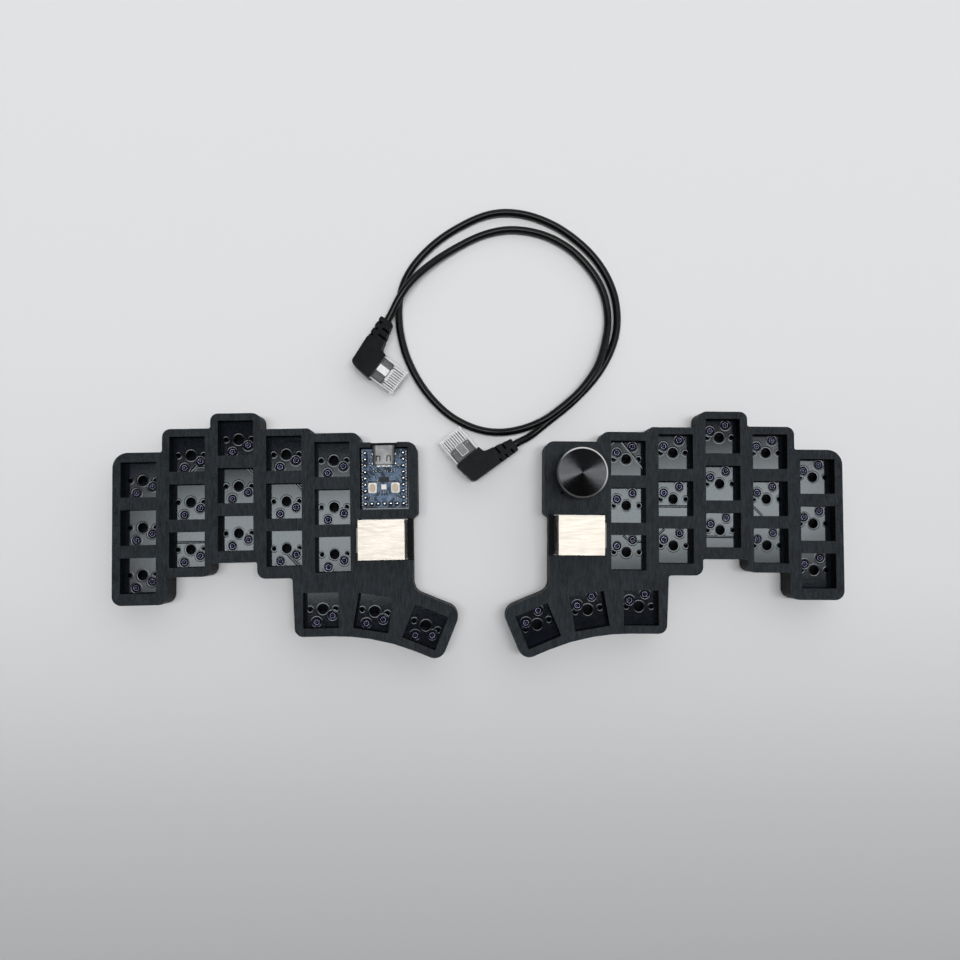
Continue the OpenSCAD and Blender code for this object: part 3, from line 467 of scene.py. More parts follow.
class Paint(Nodes):
    """One procedural material, built up from nodes on object coordinates in metres."""

    def __init__(self, name, color, roughness, metallic=0.0, **values):
        self.mat = bpy.data.materials.new(name)
        self.mat.use_nodes = True
        super().__init__(self.mat.node_tree)
        self.shader = self.tree.nodes["Principled BSDF"]
        self.place = self.add("ShaderNodeTexCoord").outputs["Object"]
        self.normal = None
        self.put("Base Color", (*color, 1.0))
        self.put("Roughness", roughness)
        self.put("Metallic", metallic)
        for key, value in values.items():
            self.put(key.replace("_", " ").title().replace("Ior", "IOR"), value)

    def put(self, socket, value):
        self.shader.inputs[socket].default_value = value

    def noise(self, size, detail=2.0, stretch=(1, 1, 1)):
        """Noise with grains of about size millimetres."""
        scaled = self.vector("MULTIPLY", self.place, [1 / s for s in stretch])
        node = self.add("ShaderNodeTexNoise")
        self.link(scaled, node.inputs["Vector"])
        node.inputs["Scale"].default_value = 1 / (size * MM)
        node.inputs["Detail"].default_value = detail
        return node.outputs["Fac"]

    def lines(self, axis, pitch):
        """Even lines across an axis, pitch millimetres apart."""
        node = self.add("ShaderNodeTexWave", wave_type="BANDS", bands_direction=axis, wave_profile="SIN")
        self.link(self.place, node.inputs["Vector"])
        node.inputs["Scale"].default_value = math.pi / (10 * pitch * MM)
        return node.outputs["Fac"]

    def blend(self, *parts):
        """Sum of (value, weight) pairs."""
        total = None
        for value, weight in parts:
            part = self.math("MULTIPLY", value, weight)
            total = part if total is None else self.math("ADD", total, part)
        return total

    def spread(self, noise, low, high):
        """Noise, most of which lies between 0.3 and 0.7, brought to another range."""
        return self.remap(noise, 0.3, 0.7, low, high)

    def ramp(self, value, *stops):
        node = self.add("ShaderNodeValToRGB")
        self.link(value, node.inputs["Fac"])
        elements = node.color_ramp.elements
        while len(elements) < len(stops):
            elements.new(0.5)
        for element, (position, color) in zip(elements, stops):
            element.position = position
            element.color = (*color, 1.0)
        return node.outputs["Color"]

    def mix(self, mask, first, second):
        """The first colour where the mask is 0, the second where it is 1."""
        node = self.add("ShaderNodeMix", data_type="RGBA")
        self.link(mask, node.inputs["Factor"])
        sockets = [s for s in node.inputs if s.type == "RGBA"]
        for socket, value in zip(sockets, (first, second)):
            if isinstance(value, tuple):
                socket.default_value = (*value, 1.0)
            else:
                self.link(value, socket)
        return [s for s in node.outputs if s.type == "RGBA"][0]

    def color(self, value):
        self.link(value, self.shader.inputs["Base Color"])

    def rough(self, value):
        self.link(value, self.shader.inputs["Roughness"])

    def bump(self, height, depth, strength):
        """Adds relief of about depth millimetres."""
        node = self.add("ShaderNodeBump")
        node.inputs["Strength"].default_value = strength
        node.inputs["Distance"].default_value = depth * MM
        self.link(height, node.inputs["Height"])
        if self.normal is not None:
            self.link(self.normal, node.inputs["Normal"])
        self.normal = node.outputs["Normal"]
        self.link(self.normal, self.shader.inputs["Normal"])

    def facing_up(self):
        """How far the surface itself faces up, from -1 to 1."""
        return self.split(self.add("ShaderNodeNewGeometry").outputs["True Normal"])[2]

    def height(self):
        return self.split(self.place)[2]

    def above(self, level, soft):
        """1 above a level in millimetres, 0 from soft millimetres lower: the mask for painted shade below a
        level.
        """
        return self.remap(self.height(), (level - soft) * MM, (level - EDGE_LOW) * MM, 0.0, 1.0)

    def lean(self, *parts):
        """Tips the normal by (vector, factor) pairs, in parts of its own length."""
        total = self.add("ShaderNodeNewGeometry").outputs["Normal"]
        for vector, factor in parts:
            scaled = self.add("ShaderNodeVectorMath", operation="SCALE")
            if isinstance(vector, tuple):
                scaled.inputs[0].default_value = vector
            else:
                self.link(vector, scaled.inputs[0])
            self.link(factor, scaled.inputs["Scale"])
            joined = self.add("ShaderNodeVectorMath", operation="ADD")
            self.link(total, joined.inputs[0])
            self.link(scaled.outputs[0], joined.inputs[1])
            total = joined.outputs[0]
        self.normal = self.unit(total)
        self.link(self.normal, self.shader.inputs["Normal"])

    def about(self, at):
        """Distance in metres from a vertical axis at a point in millimetres."""
        x, y, _ = self.split(self.vector("SUBTRACT", self.place, (at[0] * MM, at[1] * MM, 0)))
        return self.math("SQRT", self.math("ADD", self.math("POWER", x, 2.0), self.math("POWER", y, 2.0)))

    def outward(self, at, angle=0.0):
        """Level direction away from a vertical axis at a point in millimetres, turned by an angle."""
        away = self.vector("SUBTRACT", self.place, (at[0] * MM, at[1] * MM, 0))
        world = self.add("ShaderNodeVectorTransform", convert_from="OBJECT", convert_to="WORLD")
        self.link(self.unit(self.vector("MULTIPLY", away, (1, 1, 0))), world.inputs[0])
        turn = self.add("ShaderNodeVectorRotate", rotation_type="Z_AXIS")
        self.link(world.outputs[0], turn.inputs["Vector"])
        turn.inputs["Angle"].default_value = angle
        return turn.outputs[0]


# Finishes. A change of tone at a level, which is painted shade, is complete EDGE_LOW millimetres under it
EDGE_LOW = 0.1
BOARD_TINT = (0.88, 0.96, 1.0, 1.0)

# Knob: metal, cut edge, slopes of its crown and lean, and its turning marks
KNOB_DARK = (0.0165, 0.0168, 0.0178)
KNOB_PALE = (0.019, 0.0194, 0.0205)
KNOB_CUT = (0.62, 0.62, 0.63)
KNOB_CROWN = 0.12
KNOB_LEAN = (-0.0306, -0.03, 0.0)
MARK_PITCH = 0.3
MARK_TURN = -0.8
MARK_SLOPE = 0.073
CUT_LIFT = 0.25


def paint_case(name, dark, pale, gloss=0.12, level=None):
    """Printed black plastic: fine grain, print lines on top, and painted shade that makes the walls and
    floors below a level blacker.
    """
    p = Paint(name, dark, 0.5, specular_ior_level=gloss)
    grain = p.noise(0.6, 3.0)
    flat = p.remap(p.facing_up(), 0.6, 0.9, 0.0, 1.0)
    hatch = p.math("MULTIPLY", p.noise(0.6, 2.0, (1, 6, 1)), flat)
    layers = p.math("MULTIPLY", p.lines("Z", 0.2), p.math("SUBTRACT", 1.0, flat))
    tone = p.blend((grain, 0.45), (p.noise(6.0, 3.0), 0.15), (hatch, 0.4))
    top = p.ramp(tone, (0.38, dark), (0.62, pale))
    if level is None:
        p.color(top)
    else:
        # painted shade: below the level the colour falls to 0.4 of the dark tone
        p.color(p.mix(p.above(level, 0.5), tuple(c * 0.4 for c in dark), top))
    p.rough(p.spread(grain, 0.42, 0.68))
    p.bump(p.math("ADD", hatch, layers), 0.02, 0.5)
    p.bump(grain, 0.07, 0.6)
    return p.mat


def paint_board(name, dark, pale, roughness=0.07):
    """Black solder mask over copper: glossy and faintly uneven."""
    p = Paint(name, dark, roughness, specular_ior_level=0.18, specular_tint=BOARD_TINT)
    p.color(p.ramp(p.noise(2.6, 3.0), (0.4, dark), (0.62, pale)))
    p.rough(p.spread(p.noise(1.1, 2.0), roughness * 0.8, roughness * 1.4))
    p.bump(p.noise(6.0, 1.0), 0.01, 0.4)
    p.bump(p.noise(0.25, 2.0), 0.0006, 0.4)
    return p.mat


def paint_blue(name, deep, pale, line, roughness=0.2):
    """Blue solder mask with paler copper areas and the dark gaps round them."""
    p = Paint(name, deep, roughness, specular_ior_level=0.08)
    field = p.noise(2.4, 1.5)
    area = p.remap(field, 0.46, 0.5, 0.0, 1.0)
    gap = p.remap(p.math("ABSOLUTE", p.math("SINE", p.math("MULTIPLY", field, 42.0))), 0.1, 0.3, 1.0, 0.0)
    p.color(p.mix(gap, p.mix(area, deep, pale), line))
    p.rough(p.spread(p.noise(0.6, 2.0), roughness * 0.8, roughness * 1.3))
    p.bump(gap, 0.02, 0.5)
    return p.mat


def paint_metal(name, color, roughness, grain=0.4, tint=None, relief=0.004):
    """Bare or plated metal with a fine uneven sheen."""
    p = Paint(name, color, roughness, 1.0)
    spots = p.noise(grain, 3.0)
    p.color(p.ramp(spots, (0.3, tint or tuple(c * 0.82 for c in color)), (0.7, color)))
    p.rough(p.spread(p.noise(grain * 3, 3.0), roughness * 0.75, roughness * 1.3))
    p.bump(spots, relief, 0.5)
    return p.mat


def paint_sheet(name, color, roughness, wave=0.01, level=None, fade=0.95):
    """Tinned steel sheet with faint rolling marks along it, darker below a level as painted shade."""
    p = Paint(name, color, roughness, 1.0)
    marks = p.noise(0.25, 3.0, (22, 1, 1))
    cloud = p.noise(5.0, 2.0)
    top = p.ramp(cloud, (0.3, tuple(c * fade for c in color)), (0.7, color))
    if level is None:
        p.color(top)
    else:
        # painted shade: below the level the colour falls to 0.3 of its own
        p.color(p.mix(p.above(level, 0.3), tuple(c * 0.3 for c in color), top))
    p.rough(p.spread(marks, roughness * 0.9, roughness * 1.1))
    p.bump(marks, 0.0003, 0.3)
    p.bump(cloud, wave, 0.25)
    return p.mat


def paint_moulded(name, dark, pale, roughness, grain=0.18, relief=0.012, gloss=0.5):
    """Moulded plastic with a fine spark-eroded grain."""
    p = Paint(name, dark, roughness, specular_ior_level=gloss)
    spots = p.noise(grain, 3.0)
    p.color(p.ramp(p.noise(grain * 8, 3.0), (0.35, dark), (0.7, pale)))
    p.rough(p.spread(spots, roughness * 0.85, roughness * 1.2))
    p.bump(spots, relief, 0.5)
    return p.mat


def paint_rubber(name, dark, pale):
    """Dull black rubber with a fine rough skin."""
    p = Paint(name, dark, 0.8)
    p.color(p.ramp(p.noise(0.8, 4.0), (0.35, dark), (0.7, pale)))
    p.bump(p.noise(0.12, 2.0), 0.02, 0.6)
    return p.mat


def paint_knob(axis):
    """Black anodised aluminium: a lightly crowned top with circular turning marks, bright cut edges."""
    p = Paint("knob_black", KNOB_DARK, 0.12, 1.0)
    radius = p.about(axis)
    up = p.facing_up()
    top = p.remap(up, 0.9, 0.98, 0.0, 1.0)
    cut = p.math("MULTIPLY", p.remap(up, 0.55, 0.65, 0.0, 1.0), p.remap(up, 0.8, 0.9, 1.0, 0.0))
    p.color(p.mix(cut, p.ramp(p.noise(0.4, 3.0), (0.3, KNOB_DARK), (0.7, KNOB_PALE)), KNOB_CUT))
    p.rough(p.spread(p.noise(0.8, 2.0), 0.1, 0.15))
    turning = p.math("SINE", p.math("MULTIPLY", radius, 2 * math.pi / (MARK_PITCH * MM)))
    p.lean((p.outward(axis), p.math("MULTIPLY", top, KNOB_CROWN)),
           (p.outward(axis, MARK_TURN), p.math("MULTIPLY", top, p.math("MULTIPLY", turning, MARK_SLOPE))),
           (KNOB_LEAN, top), ((0, 0, 1), p.math("MULTIPLY", cut, CUT_LIFT)))
    return p.mat


def paint_clear(name, alpha):
    """Clear moulded plastic with a slight milky veil."""
    p = Paint(name, (0.9, 0.91, 0.92), 0.1, alpha=alpha, specular_ior_level=0.06)
    p.color(p.ramp(p.noise(1.5, 2.0), (0.3, (0.84, 0.85, 0.86)), (0.7, (0.95, 0.955, 0.96))))
    p.rough(p.spread(p.noise(0.8, 2.0), 0.07, 0.16))
    p.bump(p.noise(2.5, 1.0), 0.01, 0.2)
    return p.mat


def paint_led(axis):
    """White package with a round pale lens."""
    p = Paint("led_white", (0.8, 0.8, 0.79), 0.35, specular_ior_level=0.2)
    radius = p.about(axis)
    lens = p.remap(radius, 0.62 * MM, 0.7 * MM, 1.0, 0.0)
    body = p.ramp(p.noise(0.4), (0.3, (0.76, 0.76, 0.76)), (0.7, (0.83, 0.83, 0.82)))
    p.color(p.mix(lens, body, (0.86, 0.85, 0.78)))
    p.bump(p.remap(radius, 0.6 * MM, 0.75 * MM, 0.0, 1.0, soft=True), 0.06, 0.5)
    return p.mat


# Case: painted shade makes its walls and floors blacker below the top.
CASE = paint_case("case_black", (0.003, 0.0054, 0.0075), (0.0255, 0.0335, 0.041), level=Z_TOP)
FLOOR_PLATE = paint_case("plate_black", (0.0015, 0.0018, 0.002), (0.004, 0.0045, 0.005), gloss=0.02)
BOARD = paint_board("board_black", (0.0032, 0.005, 0.0085), (0.0055, 0.008, 0.0125))
BLUE_BOARD = paint_blue("board_blue", (0.007, 0.021, 0.043), (0.098, 0.152, 0.24), (0.002, 0.006, 0.016))
BLUE_COPPER = paint_blue("board_blue_copper", (0.09, 0.15, 0.25), (0.14, 0.21, 0.32), (0.07, 0.12, 0.2))
SOCKET = paint_moulded("socket_plastic", (0.0025, 0.0025, 0.005), (0.005, 0.005, 0.009), 0.45, gloss=0.02)
BRASS = paint_metal("contact_brass", (0.6, 0.57, 0.78), 0.32, 0.3, (0.45, 0.42, 0.62))
CLIP = paint_metal("clip_brass", (0.12, 0.12, 0.185), 0.34, 0.3, (0.09, 0.09, 0.15))
INSERT = paint_metal("insert_brass", (0.62, 0.47, 0.2), 0.35, 0.3)
GOLD = paint_metal("contact_gold", (0.72, 0.54, 0.26), 0.25, 0.3)
BLADE = paint_metal("blade_gold", (0.3, 0.25, 0.17), 0.3, 0.3)
# Jack shield: painted shade darkens its sides and rear tab below the top.
SHIELD = paint_sheet("shield_steel", (0.775, 0.725, 0.648), 0.6, 0.006, Z_JACK)
# USB shell: a dull dark grey with deep tone clouds stands in for the dark and bright reflections of its
# curved mirror-like steel, as painted reflection.
USB_STEEL_PAINTED_REFLECTION = paint_sheet("usb_steel_painted_reflection", (0.26, 0.262, 0.264), 0.52, 0.2, fade=0.5)
FRAME_PALE = paint_moulded("frame_pale", (0.88, 0.87, 0.85), (0.93, 0.92, 0.9), 0.45, 0.15, gloss=0.2)
HOUSING = paint_moulded("housing_black", (0.004, 0.004, 0.005), (0.009, 0.009, 0.01), 0.45, gloss=0.12)
JACK_BODY = paint_moulded("jack_grey", (0.02, 0.022, 0.022), (0.04, 0.043, 0.042), 0.45, gloss=0.15)
SCREW = paint_metal("screw_steel", (0.32, 0.32, 0.33), 0.35)
FOOT = paint_rubber("foot_rubber", (0.012, 0.012, 0.012), (0.024, 0.024, 0.024))
TIN = paint_metal("tin", (0.3, 0.3, 0.305), 0.28, 0.4)
SOLDER = paint_metal("solder_dark", (0.42, 0.422, 0.425), 0.2, 0.3)
BEIGE = paint_moulded("button_beige", (0.56, 0.46, 0.36), (0.64, 0.54, 0.43), 0.5, gloss=0.15)
CHIP = paint_moulded("chip_black", (0.008, 0.01, 0.011), (0.018, 0.022, 0.022), 0.4, 0.12, gloss=0.12)
LED = paint_led(on_half(-1, on_controller(LED_AT)))
KNOB = paint_knob(on_half(1, ENC_AT))
CABLE = paint_moulded("cable_black", (0.0015, 0.0018, 0.0022), (0.0036, 0.004, 0.0046), 0.26, 0.3, 0.006,
                      gloss=0.22)
BOOT = paint_moulded("boot_black", (0.003, 0.0035, 0.0045), (0.008, 0.009, 0.011), 0.48, 0.3, 0.012, 0.09)
# Blacker than the boot's rubber: painted shade in the slots of its strain relief.
WEB_SLOT_SHADE = paint_moulded("web_slot_shade", (0.001, 0.001, 0.001), (0.002, 0.002, 0.002), 0.7, 0.15, 0.012, 0.02)
CORE = paint_moulded("core_grey", (0.008, 0.008, 0.009), (0.02, 0.02, 0.021), 0.6, 0.4, 0.03, 0.05)
CLEAR = paint_clear("plug_clear", 0.1)
# White ribs and bars in the clear plugs: painted highlights of the clear plastic's edges.
COMB_HIGHLIGHT = paint_moulded("comb_painted_highlight", (0.82, 0.83, 0.84), (0.92, 0.93, 0.94), 0.3, 0.2, gloss=0.3)
CERAMIC = paint_moulded("smd_body", (0.03, 0.028, 0.027), (0.055, 0.05, 0.046), 0.45, 0.1, gloss=0.15)

NODE_PAINT = {
    "top_case": CASE, "bottom_plate": FLOOR_PLATE, "pcb": BOARD, "hotswap_sockets": SOCKET,
    "socket_contacts": BRASS, "diodes": CHIP, "jack_shield": SHIELD, "jack_housing": JACK_BODY,
    "jack_contacts": GOLD, "screws": SCREW, "inserts": INSERT, "feet": FOOT,
    "controller_board": BLUE_BOARD, "header_strips": HOUSING, "header_pins": TIN, "usb_shell": USB_STEEL_PAINTED_REFLECTION,
    "usb_tongue": HOUSING, "button_frames": FRAME_PALE, "boot_button": BEIGE, "reset_button": BEIGE,
    "controller_chip": CHIP, "status_led": LED, "port_chip": CHIP, "encoder_housing": HOUSING,
    "encoder_bracket": USB_STEEL_PAINTED_REFLECTION, "encoder_bushing": SCREW, "encoder_shaft": SCREW,
    "encoder_plunger": BEIGE, "encoder_terminals": TIN, "knob": KNOB, "knob_set_screw": SCREW,
    "link_cable": CABLE, "boot": BOOT, "body": CLEAR, "contacts": BLADE, "latch": CLEAR,
}


def node_kind(name):
    """A node's name without its half or plug."""
    for start in ("left_", "right_", "plug_a_", "plug_b_"):
        if name.startswith(start):
            return name[len(start):]
    return name


def paint_nodes():
    """Gives every node its finish."""
    for name, obj in nodes.items():
        obj.data.materials.clear()
        obj.data.materials.append(NODE_PAINT[node_kind(name)])


def soften_boot(name):
    """Rounds the sharp edges of a plug's boot."""
    bevel = nodes[name].modifiers.new("soft_edges", "BEVEL")
    bevel.width = BOOT_EDGE * MM
    bevel.segments = BOOT_EDGE_STEPS
    bevel.limit_method = "ANGLE"
    bevel.angle_limit = BOOT_EDGE_ANGLE


# Board details in the wells
def lip(bm, at, radius):
    """Soft raised edge of the solder mask round a hole."""
    z = Z_PCB_TOP
    ring(bm, at, [(radius + out, z + level) for out, level in LIP])


def make_lips(name, side):
    """Lips of all holes and sockets in a half."""
    bm = bmesh.new()
    for key in key_spots():
        lip(bm, key_point(key, (0, 0)), MIDDLE_R)
        for x in (-PEG_REACH, PEG_REACH):
            lip(bm, key_point(key, (x, 0)), PEG_R)
        for x, y in SOCKETS:
            lip(bm, key_point(key, (x, y * side)), COLLAR_R)
    piece(f"{name}_hole_lips", bm, BOARD, half_matrix(side), smooth=True)


def make_collars(name, side):
    """Rims of the socket barrels where they come through the board, with a funnel down to the clip."""
    z = Z_PCB_TOP
    rim = ((COLLAR_R, z - 0.05), (COLLAR_R - 0.03, z + 0.04), (CLIP_RIM + 0.02, z + 0.04),
           (CLIP_RIM, z - 0.04))
    funnel = ((CLIP_OUT - 0.04, z - 0.06), (CLIP_R, z - 0.28), (LEAF_R, z - 0.3), (LEAF_R, z - 0.5))
    bm = bmesh.new()
    for key in key_spots():
        for x, y in SOCKETS:
            at = key_point(key, (x, y * side))
            ring(bm, at, rim)
            ring(bm, at, funnel)
    piece(f"{name}_socket_collars", bm, SOCKET, half_matrix(side))


def make_leaves(name, side):
    """Thin metal rim of each socket clip and the two leaves inside it."""
    z = Z_PCB_TOP
    rim = ((CLIP_RIM, z - 0.04), (CLIP_RIM - 0.08, z + 0.01), (CLIP_OUT + 0.06, z + 0.01),
           (CLIP_OUT - 0.04, z - 0.06))
    bm = bmesh.new()
    for key in key_spots():
        for x, y in SOCKETS:
            at = key_point(key, (x, y * side))
            ring(bm, at, rim)
            leaves(bm, at, LEAF_R, z - LEAF_DEPTH, key[2] + LEAF_TURN, LEAF_DROP)
    piece(f"{name}_socket_leaves", bm, CLIP, half_matrix(side))


def make_tracks(name, side, tracks):
    """Copper lines in the wells of a half."""
    bm = bmesh.new()
    spots = key_spots()
    for key, points in tracks:
        track(bm, [key_point(spots[key], p) for p in points], Z_PCB_TOP)
    piece(f"{name}_board_tracks", bm, BOARD, half_matrix(side), smooth=True)


# Controller details
def make_header_solder():
    """Pins with hollow cones of solder and round tips."""
    z = Z_CTRL_TOP
    profile = ((0.0, PIN_LOW), (0.35, PIN_LOW), (0.35, z), (1.0, z), (0.78, z + 0.2), (0.62, z + 0.55),
               (0.54, z + 0.9), (0.46, z + 1.02), (0.3, z + 1.07), (0.0, z + 1.09))
    bm = bmesh.new()
    for p in header_spots():
        ring(bm, on_controller(p), profile, PIN_STEPS)
    bmesh.ops.remove_doubles(bm, verts=bm.verts, dist=1e-7)
    obj = piece("header_solder", bm, SOLDER, half_matrix(-1), smooth=True)
    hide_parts("header_pins")


def make_edge_pads():
    """Half-round plated pads along the sides of the controller."""
    z = Z_CTRL_TOP
    profile = ((0.85, z - 0.01), (0.78, z + 0.05), (0.5, z + 0.05), (0.42, z - 0.02), (0.42, z - 1.2))
    bm = bmesh.new()
    for y in centred(SIDE_PINS, HEADER_PITCH):
        for s in (1, -1):
            ring(bm, on_controller((s * CTRL_SIDE, y)), profile, PAD_STEPS, 180, s * 90)
    piece("controller_edge_pads", bm, TIN, half_matrix(-1), smooth=True)


def make_passives():
    """Small ceramic parts with tinned ends, and the solder at the USB shell."""
    bodies, ends = bmesh.new(), bmesh.new()
    for x, y, turn in PASSIVES:
        brick(bodies, on_controller((x, y)), PASSIVE_SIZE, Z_CTRL_TOP, 0.05, turn)
        for s in (-1, 1):
            p = turned((s * PASSIVE_REACH, 0), turn)
            brick(ends, on_controller((x + p.x, y + p.y)), PASSIVE_END, Z_CTRL_TOP, 0.1, turn)
    for s in (-1, 1):
        for y in USB_TABS:
            brick(ends, on_controller((s * USB_SIDE, USB_BACK + y)), USB_TAB_SIZE, Z_CTRL_TOP, 0.25)
    for x in centred(USB_LEADS, USB_LEAD_PITCH):
        brick(ends, on_controller((x, USB_BACK - USB_LEAD_OUT)), USB_LEAD_SIZE, Z_CTRL_TOP, 0.05)
    piece("controller_passives", bodies, CERAMIC, half_matrix(-1))
    piece("controller_solder", ends, TIN, half_matrix(-1))


def make_button_frames():
    """Pale satin frames with round corners and an oval hole for each cap."""
    z = Z_CTRL_TOP
    (w, h, top), (cw, ch) = FRAME_SIZE, CAP_HOLE
    steps = (
        ((w, h), 0.8, z), ((w, h), 0.8, z + top - 0.2), ((w - 0.25, h - 0.25), 0.7, z + top),
        ((cw + 0.3, ch + 0.3), (cw + 0.3) / 2, z + top), ((cw, ch), cw / 2, z + top - 0.2),
        ((cw, ch), cw / 2, z + FRAME_FLOOR),
    )
    bm = bmesh.new()
    for spot in BUTTONS:
        at = on_controller(spot)
        rows = []
        for size, radius, level in steps:
            rows.append([corner(bm, at[0] + x, at[1] + y, level) for x, y in rounded(size, radius)])
        skin(bm, rows, True)
        bm.faces.new(rows[-1])
    obj = piece("button_bezels", bm, FRAME_PALE, half_matrix(-1))
    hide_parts("button_frames")


def make_copper():
    """Copper lines and the flat patch near the end of the controller."""
    bm = bmesh.new()
    for points in CTRL_TRACKS:
        for s in (-1, 1):
            track(bm, [on_controller((s * x, y)) for x, y in points], Z_CTRL_TOP, *CTRL_TRACK_SIZE)
    plate(bm, [on_controller(p) for p in CTRL_POUR], Z_CTRL_TOP)
    piece("controller_copper", bm, BLUE_COPPER, half_matrix(-1))


# Link cable
def make_plug_inside(name, plug, mirrored, lines):
    """What shows in the clear body: flat jacket, wires and dark window bars; ribs between the contacts and
    the given bars, white as painted highlights of the clear plastic; and the boot's web, painted blacker
    than the boot as the shade in its slots.
    """
    at = plug_matrix(plug, mirrored)
    core = bmesh.new()
    brick(core, (JACKET_X, 0), JACKET_SIZE, CORE_LOW, 0.4)
    for y in centred(CONTACTS, CONTACT_PITCH):
        brick(core, (WIRE_X, y), WIRE_SIZE, CORE_LOW, 0.2)
        brick(core, (SLOT_X, y), SLOT_SIZE, COMB_LOW, 0.05)
    bars(core, WINDOW_BARS, WINDOW_TALL, WINDOW_LOW, 0.05)
    piece(f"{name}_core", core, CORE, at)
    comb = bmesh.new()
    for y in centred(CONTACTS + 1, CONTACT_PITCH):
        brick(comb, (RIB_X, y), RIB_SIZE, COMB_LOW, 0.1)
    bars(comb, lines, BAR_TALL, BAR_LOW, 0.1)
    piece(f"{name}_comb", comb, COMB_HIGHLIGHT, at)
    web = bmesh.new()
    slab(web, RELIEF, *RELIEF_LEVELS)
    piece(f"{name}_web", web, WEB_SLOT_SHADE, at)


def make_lever(name, plug, mirrored, marks, body):
    """Pale bars inside the clear latch lever, painted highlights of its outline; the lever rises towards
    the boot and they move with it.
    """
    bm = bmesh.new()
    bars(bm, marks, BAR_TALL, PLUG_TOP + LEVER_AT[1] - BAR_TALL / 2, 0.1)
    for v in bm.verts:
        v.co.z += LEVER_SLOPE * (v.co.x - LEVER_AT[0] * MM)
    piece(f"{name}_lever", bm, COMB_HIGHLIGHT, plug_matrix(plug, mirrored), body=body)


def plug_exit(plug, mirrored):
    """Middle of the boot's end face and the way the cable leaves it."""
    (at, degrees), (a, b) = plug, BOOT_END
    flip = -1 if mirrored else 1
    middle = turned(((a[0] + b[0]) / 2, flip * (a[1] + b[1]) / 2), degrees)
    way = turned((a[1] - b[1], flip * (b[0] - a[0])), degrees).normalized()
    return Vector((at[0] + middle.x, at[1] + middle.y, EXIT_Z)), Vector((way.x, way.y, 0))


def cable_points():
    """The smooth run through the route, from the first plug to the second."""
    first, leave = plug_exit(PLUG_A, False)
    last, back = plug_exit(PLUG_B, True)
    route = [first] + [Vector(p) for p in ROUTE] + [last]
    ways = [leave * (route[1] - route[0]).length]
    ways += [(route[i + 1] - route[i - 1]) / 2 for i in range(1, len(route) - 1)]
    ways += [-back * (route[-1] - route[-2]).length]
    points = []
    for i in range(len(route) - 1):
        for k in range(SPAN_STEPS):
            t = k / SPAN_STEPS
            s = 1 - t
            points.append(route[i] * (1 + 2 * t) * s * s + route[i + 1] * (3 - 2 * t) * t * t
                          + ways[i] * t * s * s - ways[i + 1] * t * t * s)
    return points + [last]


def make_cable():
    """The cable's jacket, a round curve that stands for the solid cable."""
    points = [p * MM for p in cable_points()]
    curve = bpy.data.curves.new("link_cable_jacket", "CURVE")
    curve.dimensions = "3D"
    curve.bevel_depth = CABLE_D / 2 * MM
    curve.bevel_resolution = 6
    spline = curve.splines.new("POLY")
    spline.points.add(len(points) - 1)
    for slot, p in zip(spline.points, points):
        slot.co = (*p, 1.0)
    spline.use_smooth = True
    curve.materials.append(CABLE)
    obj = bpy.data.objects.new("link_cable_jacket", curve)
    scene.collection.objects.link(obj)
    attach(obj, "keyboard")
    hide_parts("link_cable")


# Stage, light and camera
def make_floor():
    """Plain pale paper with painted shade: a dark band in front of the part."""
    p = Paint("floor_paper", (0.8, 0.8, 0.8), 0.85)
    near, far = FLOOR_SHADE_TONES[0][0], FLOOR_SHADE_TONES[-1][0]
    shade = p.remap(p.split(p.place)[1], near, far, 0.0, 1.0)
    p.color(p.ramp(shade, *(
        ((y - near) / (far - near), tuple(tone * c for c in FLOOR_TINT)) for y, tone in FLOOR_SHADE_TONES)))
    p.bump(p.noise(0.9, 3.0), 0.01, 0.15)
    bm = bmesh.new()
    corners = [(x * FLOOR_REACH, y * FLOOR_REACH) for x, y in ((-1, -1), (1, -1), (1, 1), (-1, 1))]
    bm.faces.new([bm.verts.new((x, y, -FLOOR_DROP)) for x, y in corners])
    mesh = bpy.data.meshes.new("floor")
    bm.to_mesh(mesh)
    bm.free()
    mesh.materials.append(p.mat)
    obj = bpy.data.objects.new("floor", mesh)
    scene.collection.objects.link(obj)


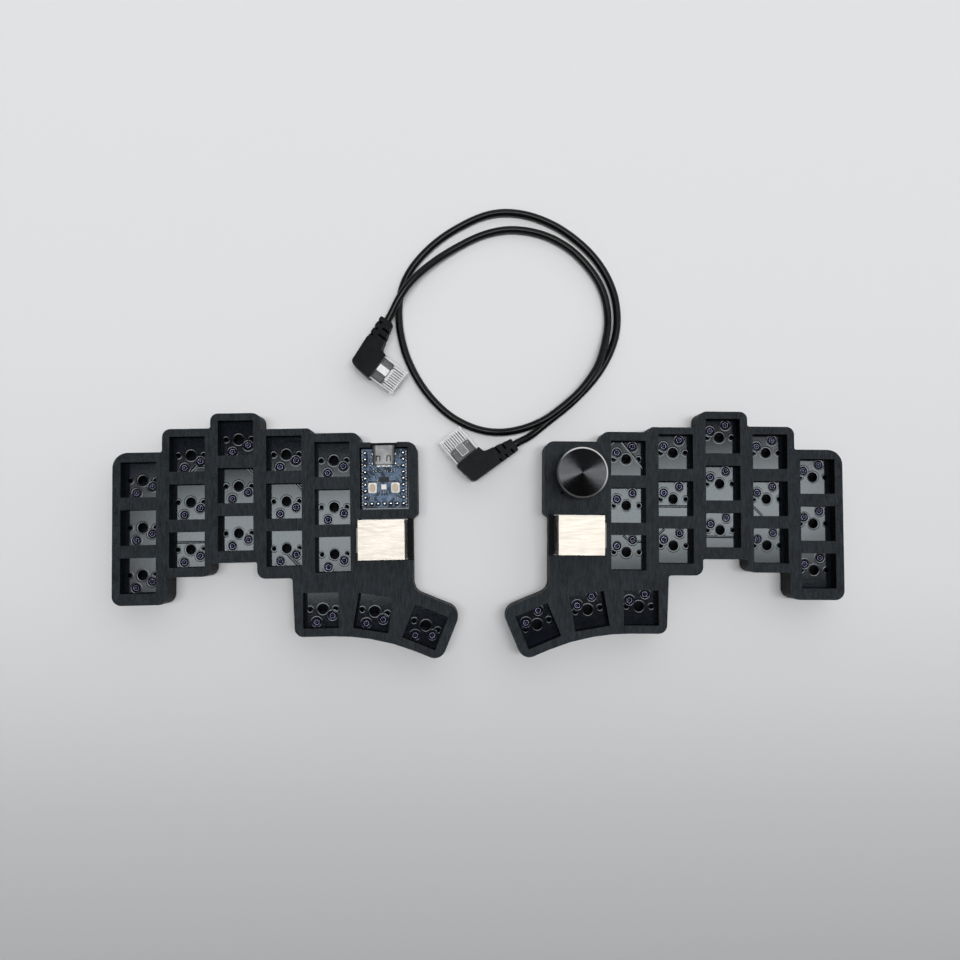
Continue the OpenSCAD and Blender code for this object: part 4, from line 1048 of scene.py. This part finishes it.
def make_world():
    """Soft light: a long panel across a dim ceiling, paler to the far right; a pale backdrop all round."""
    world = bpy.data.worlds.new("studio")
    world.use_nodes = True
    sky = Nodes(world.node_tree)
    x, y, z = sky.split(sky.add("ShaderNodeTexCoord").outputs["Generated"])
    up = sky.math("MAXIMUM", z, SLOPE_LOW)
    across = sky.math("SUBTRACT", sky.math("DIVIDE", x, up), PANEL_AT[0])
    along = sky.math("SUBTRACT", sky.math("DIVIDE", y, up), PANEL_AT[1])
    along = sky.math("SUBTRACT", along, sky.math("MULTIPLY", across, PANEL_SLOPE))
    panel = sky.math("MULTIPLY", sky.remap(sky.math("ABSOLUTE", across), *PANEL_X, 1.0, 0.0, soft=True),
                     sky.remap(sky.math("ABSOLUTE", along), *PANEL_Y, 1.0, 0.0, soft=True))
    panel = sky.math("MULTIPLY", panel, sky.math("GREATER_THAN", z, PANEL_LOW))
    side = sky.math("ADD", sky.math("MULTIPLY", x, ROOM_WAY[0]), sky.math("MULTIPLY", y, ROOM_WAY[1]))
    room = sky.remap(side, *ROOM_EDGE, ROOM_DARK, ROOM_PALE, soft=True)
    light = sky.math("ADD", room, sky.math("MULTIPLY", panel, PANEL_LIGHT))
    rays = sky.add("ShaderNodeLightPath").outputs
    mirrored = sky.math("MAXIMUM", rays["Is Glossy Ray"], rays["Is Transmission Ray"])
    low = sky.math("MULTIPLY", mirrored, sky.remap(z, *HORIZON, 1.0, 0.0, soft=True))
    seen = sky.math("MAXIMUM", rays["Is Camera Ray"], low)
    shown = sky.math("MULTIPLY", seen, BACKDROP)
    lit = sky.math("MULTIPLY", sky.math("SUBTRACT", 1.0, seen), light)
    out = world.node_tree.nodes["Background"]
    sky.link(sky.math("ADD", shown, lit), out.inputs["Strength"])
    out.inputs["Color"].default_value = LIGHT_COLOR
    scene.world = world


def make_camera():
    """The photograph's camera, from straight above but for its small tilts."""
    data = bpy.data.cameras.new("camera")
    data.sensor_width = 36.0
    data.lens = FOCAL_PX * data.sensor_width / FRAME_PX
    data.clip_start = 0.01
    data.clip_end = 50.0
    sa, ca = math.sin(TILT_X), math.cos(TILT_X)
    sb, cb = math.sin(TILT_Y), math.cos(TILT_Y)
    right = Vector((cb, sb * sa, -sb * ca))
    down = Vector((0, -ca, -sa))
    ahead = Vector((-sb, cb * sa, -cb * ca))
    axes = Matrix((right, -down, -ahead)).transposed().to_4x4()
    camera = bpy.data.objects.new("camera", data)
    camera.matrix_world = Matrix.Translation(Vector(CAMERA_AT) * MM) @ Matrix.Rotation(YAW, 4, "Z") @ axes
    scene.collection.objects.link(camera)
    scene.camera = camera


paint_nodes()
for boot in ("plug_a_boot", "plug_b_boot"):
    soften_boot(boot)
for half, half_side, half_tracks in (("left", -1, LEFT_TRACKS), ("right", 1, RIGHT_TRACKS)):
    make_lips(half, half_side)
    make_collars(half, half_side)
    make_leaves(half, half_side)
    make_tracks(half, half_side, half_tracks)
make_header_solder()
make_edge_pads()
make_passives()
make_button_frames()
make_copper()
make_plug_inside("plug_a", PLUG_A, False, SIDE_BARS + CROSS_BAR)
make_plug_inside("plug_b", PLUG_B, True, SIDE_BARS)
make_lever("plug_a", PLUG_A, False, LEVER_CORE, "first_latch")
make_lever("plug_b", PLUG_B, True, LEVER_BARS, "second_latch")
make_cable()
make_floor()
make_world()
make_camera()
scene.view_settings.view_transform = "Standard"
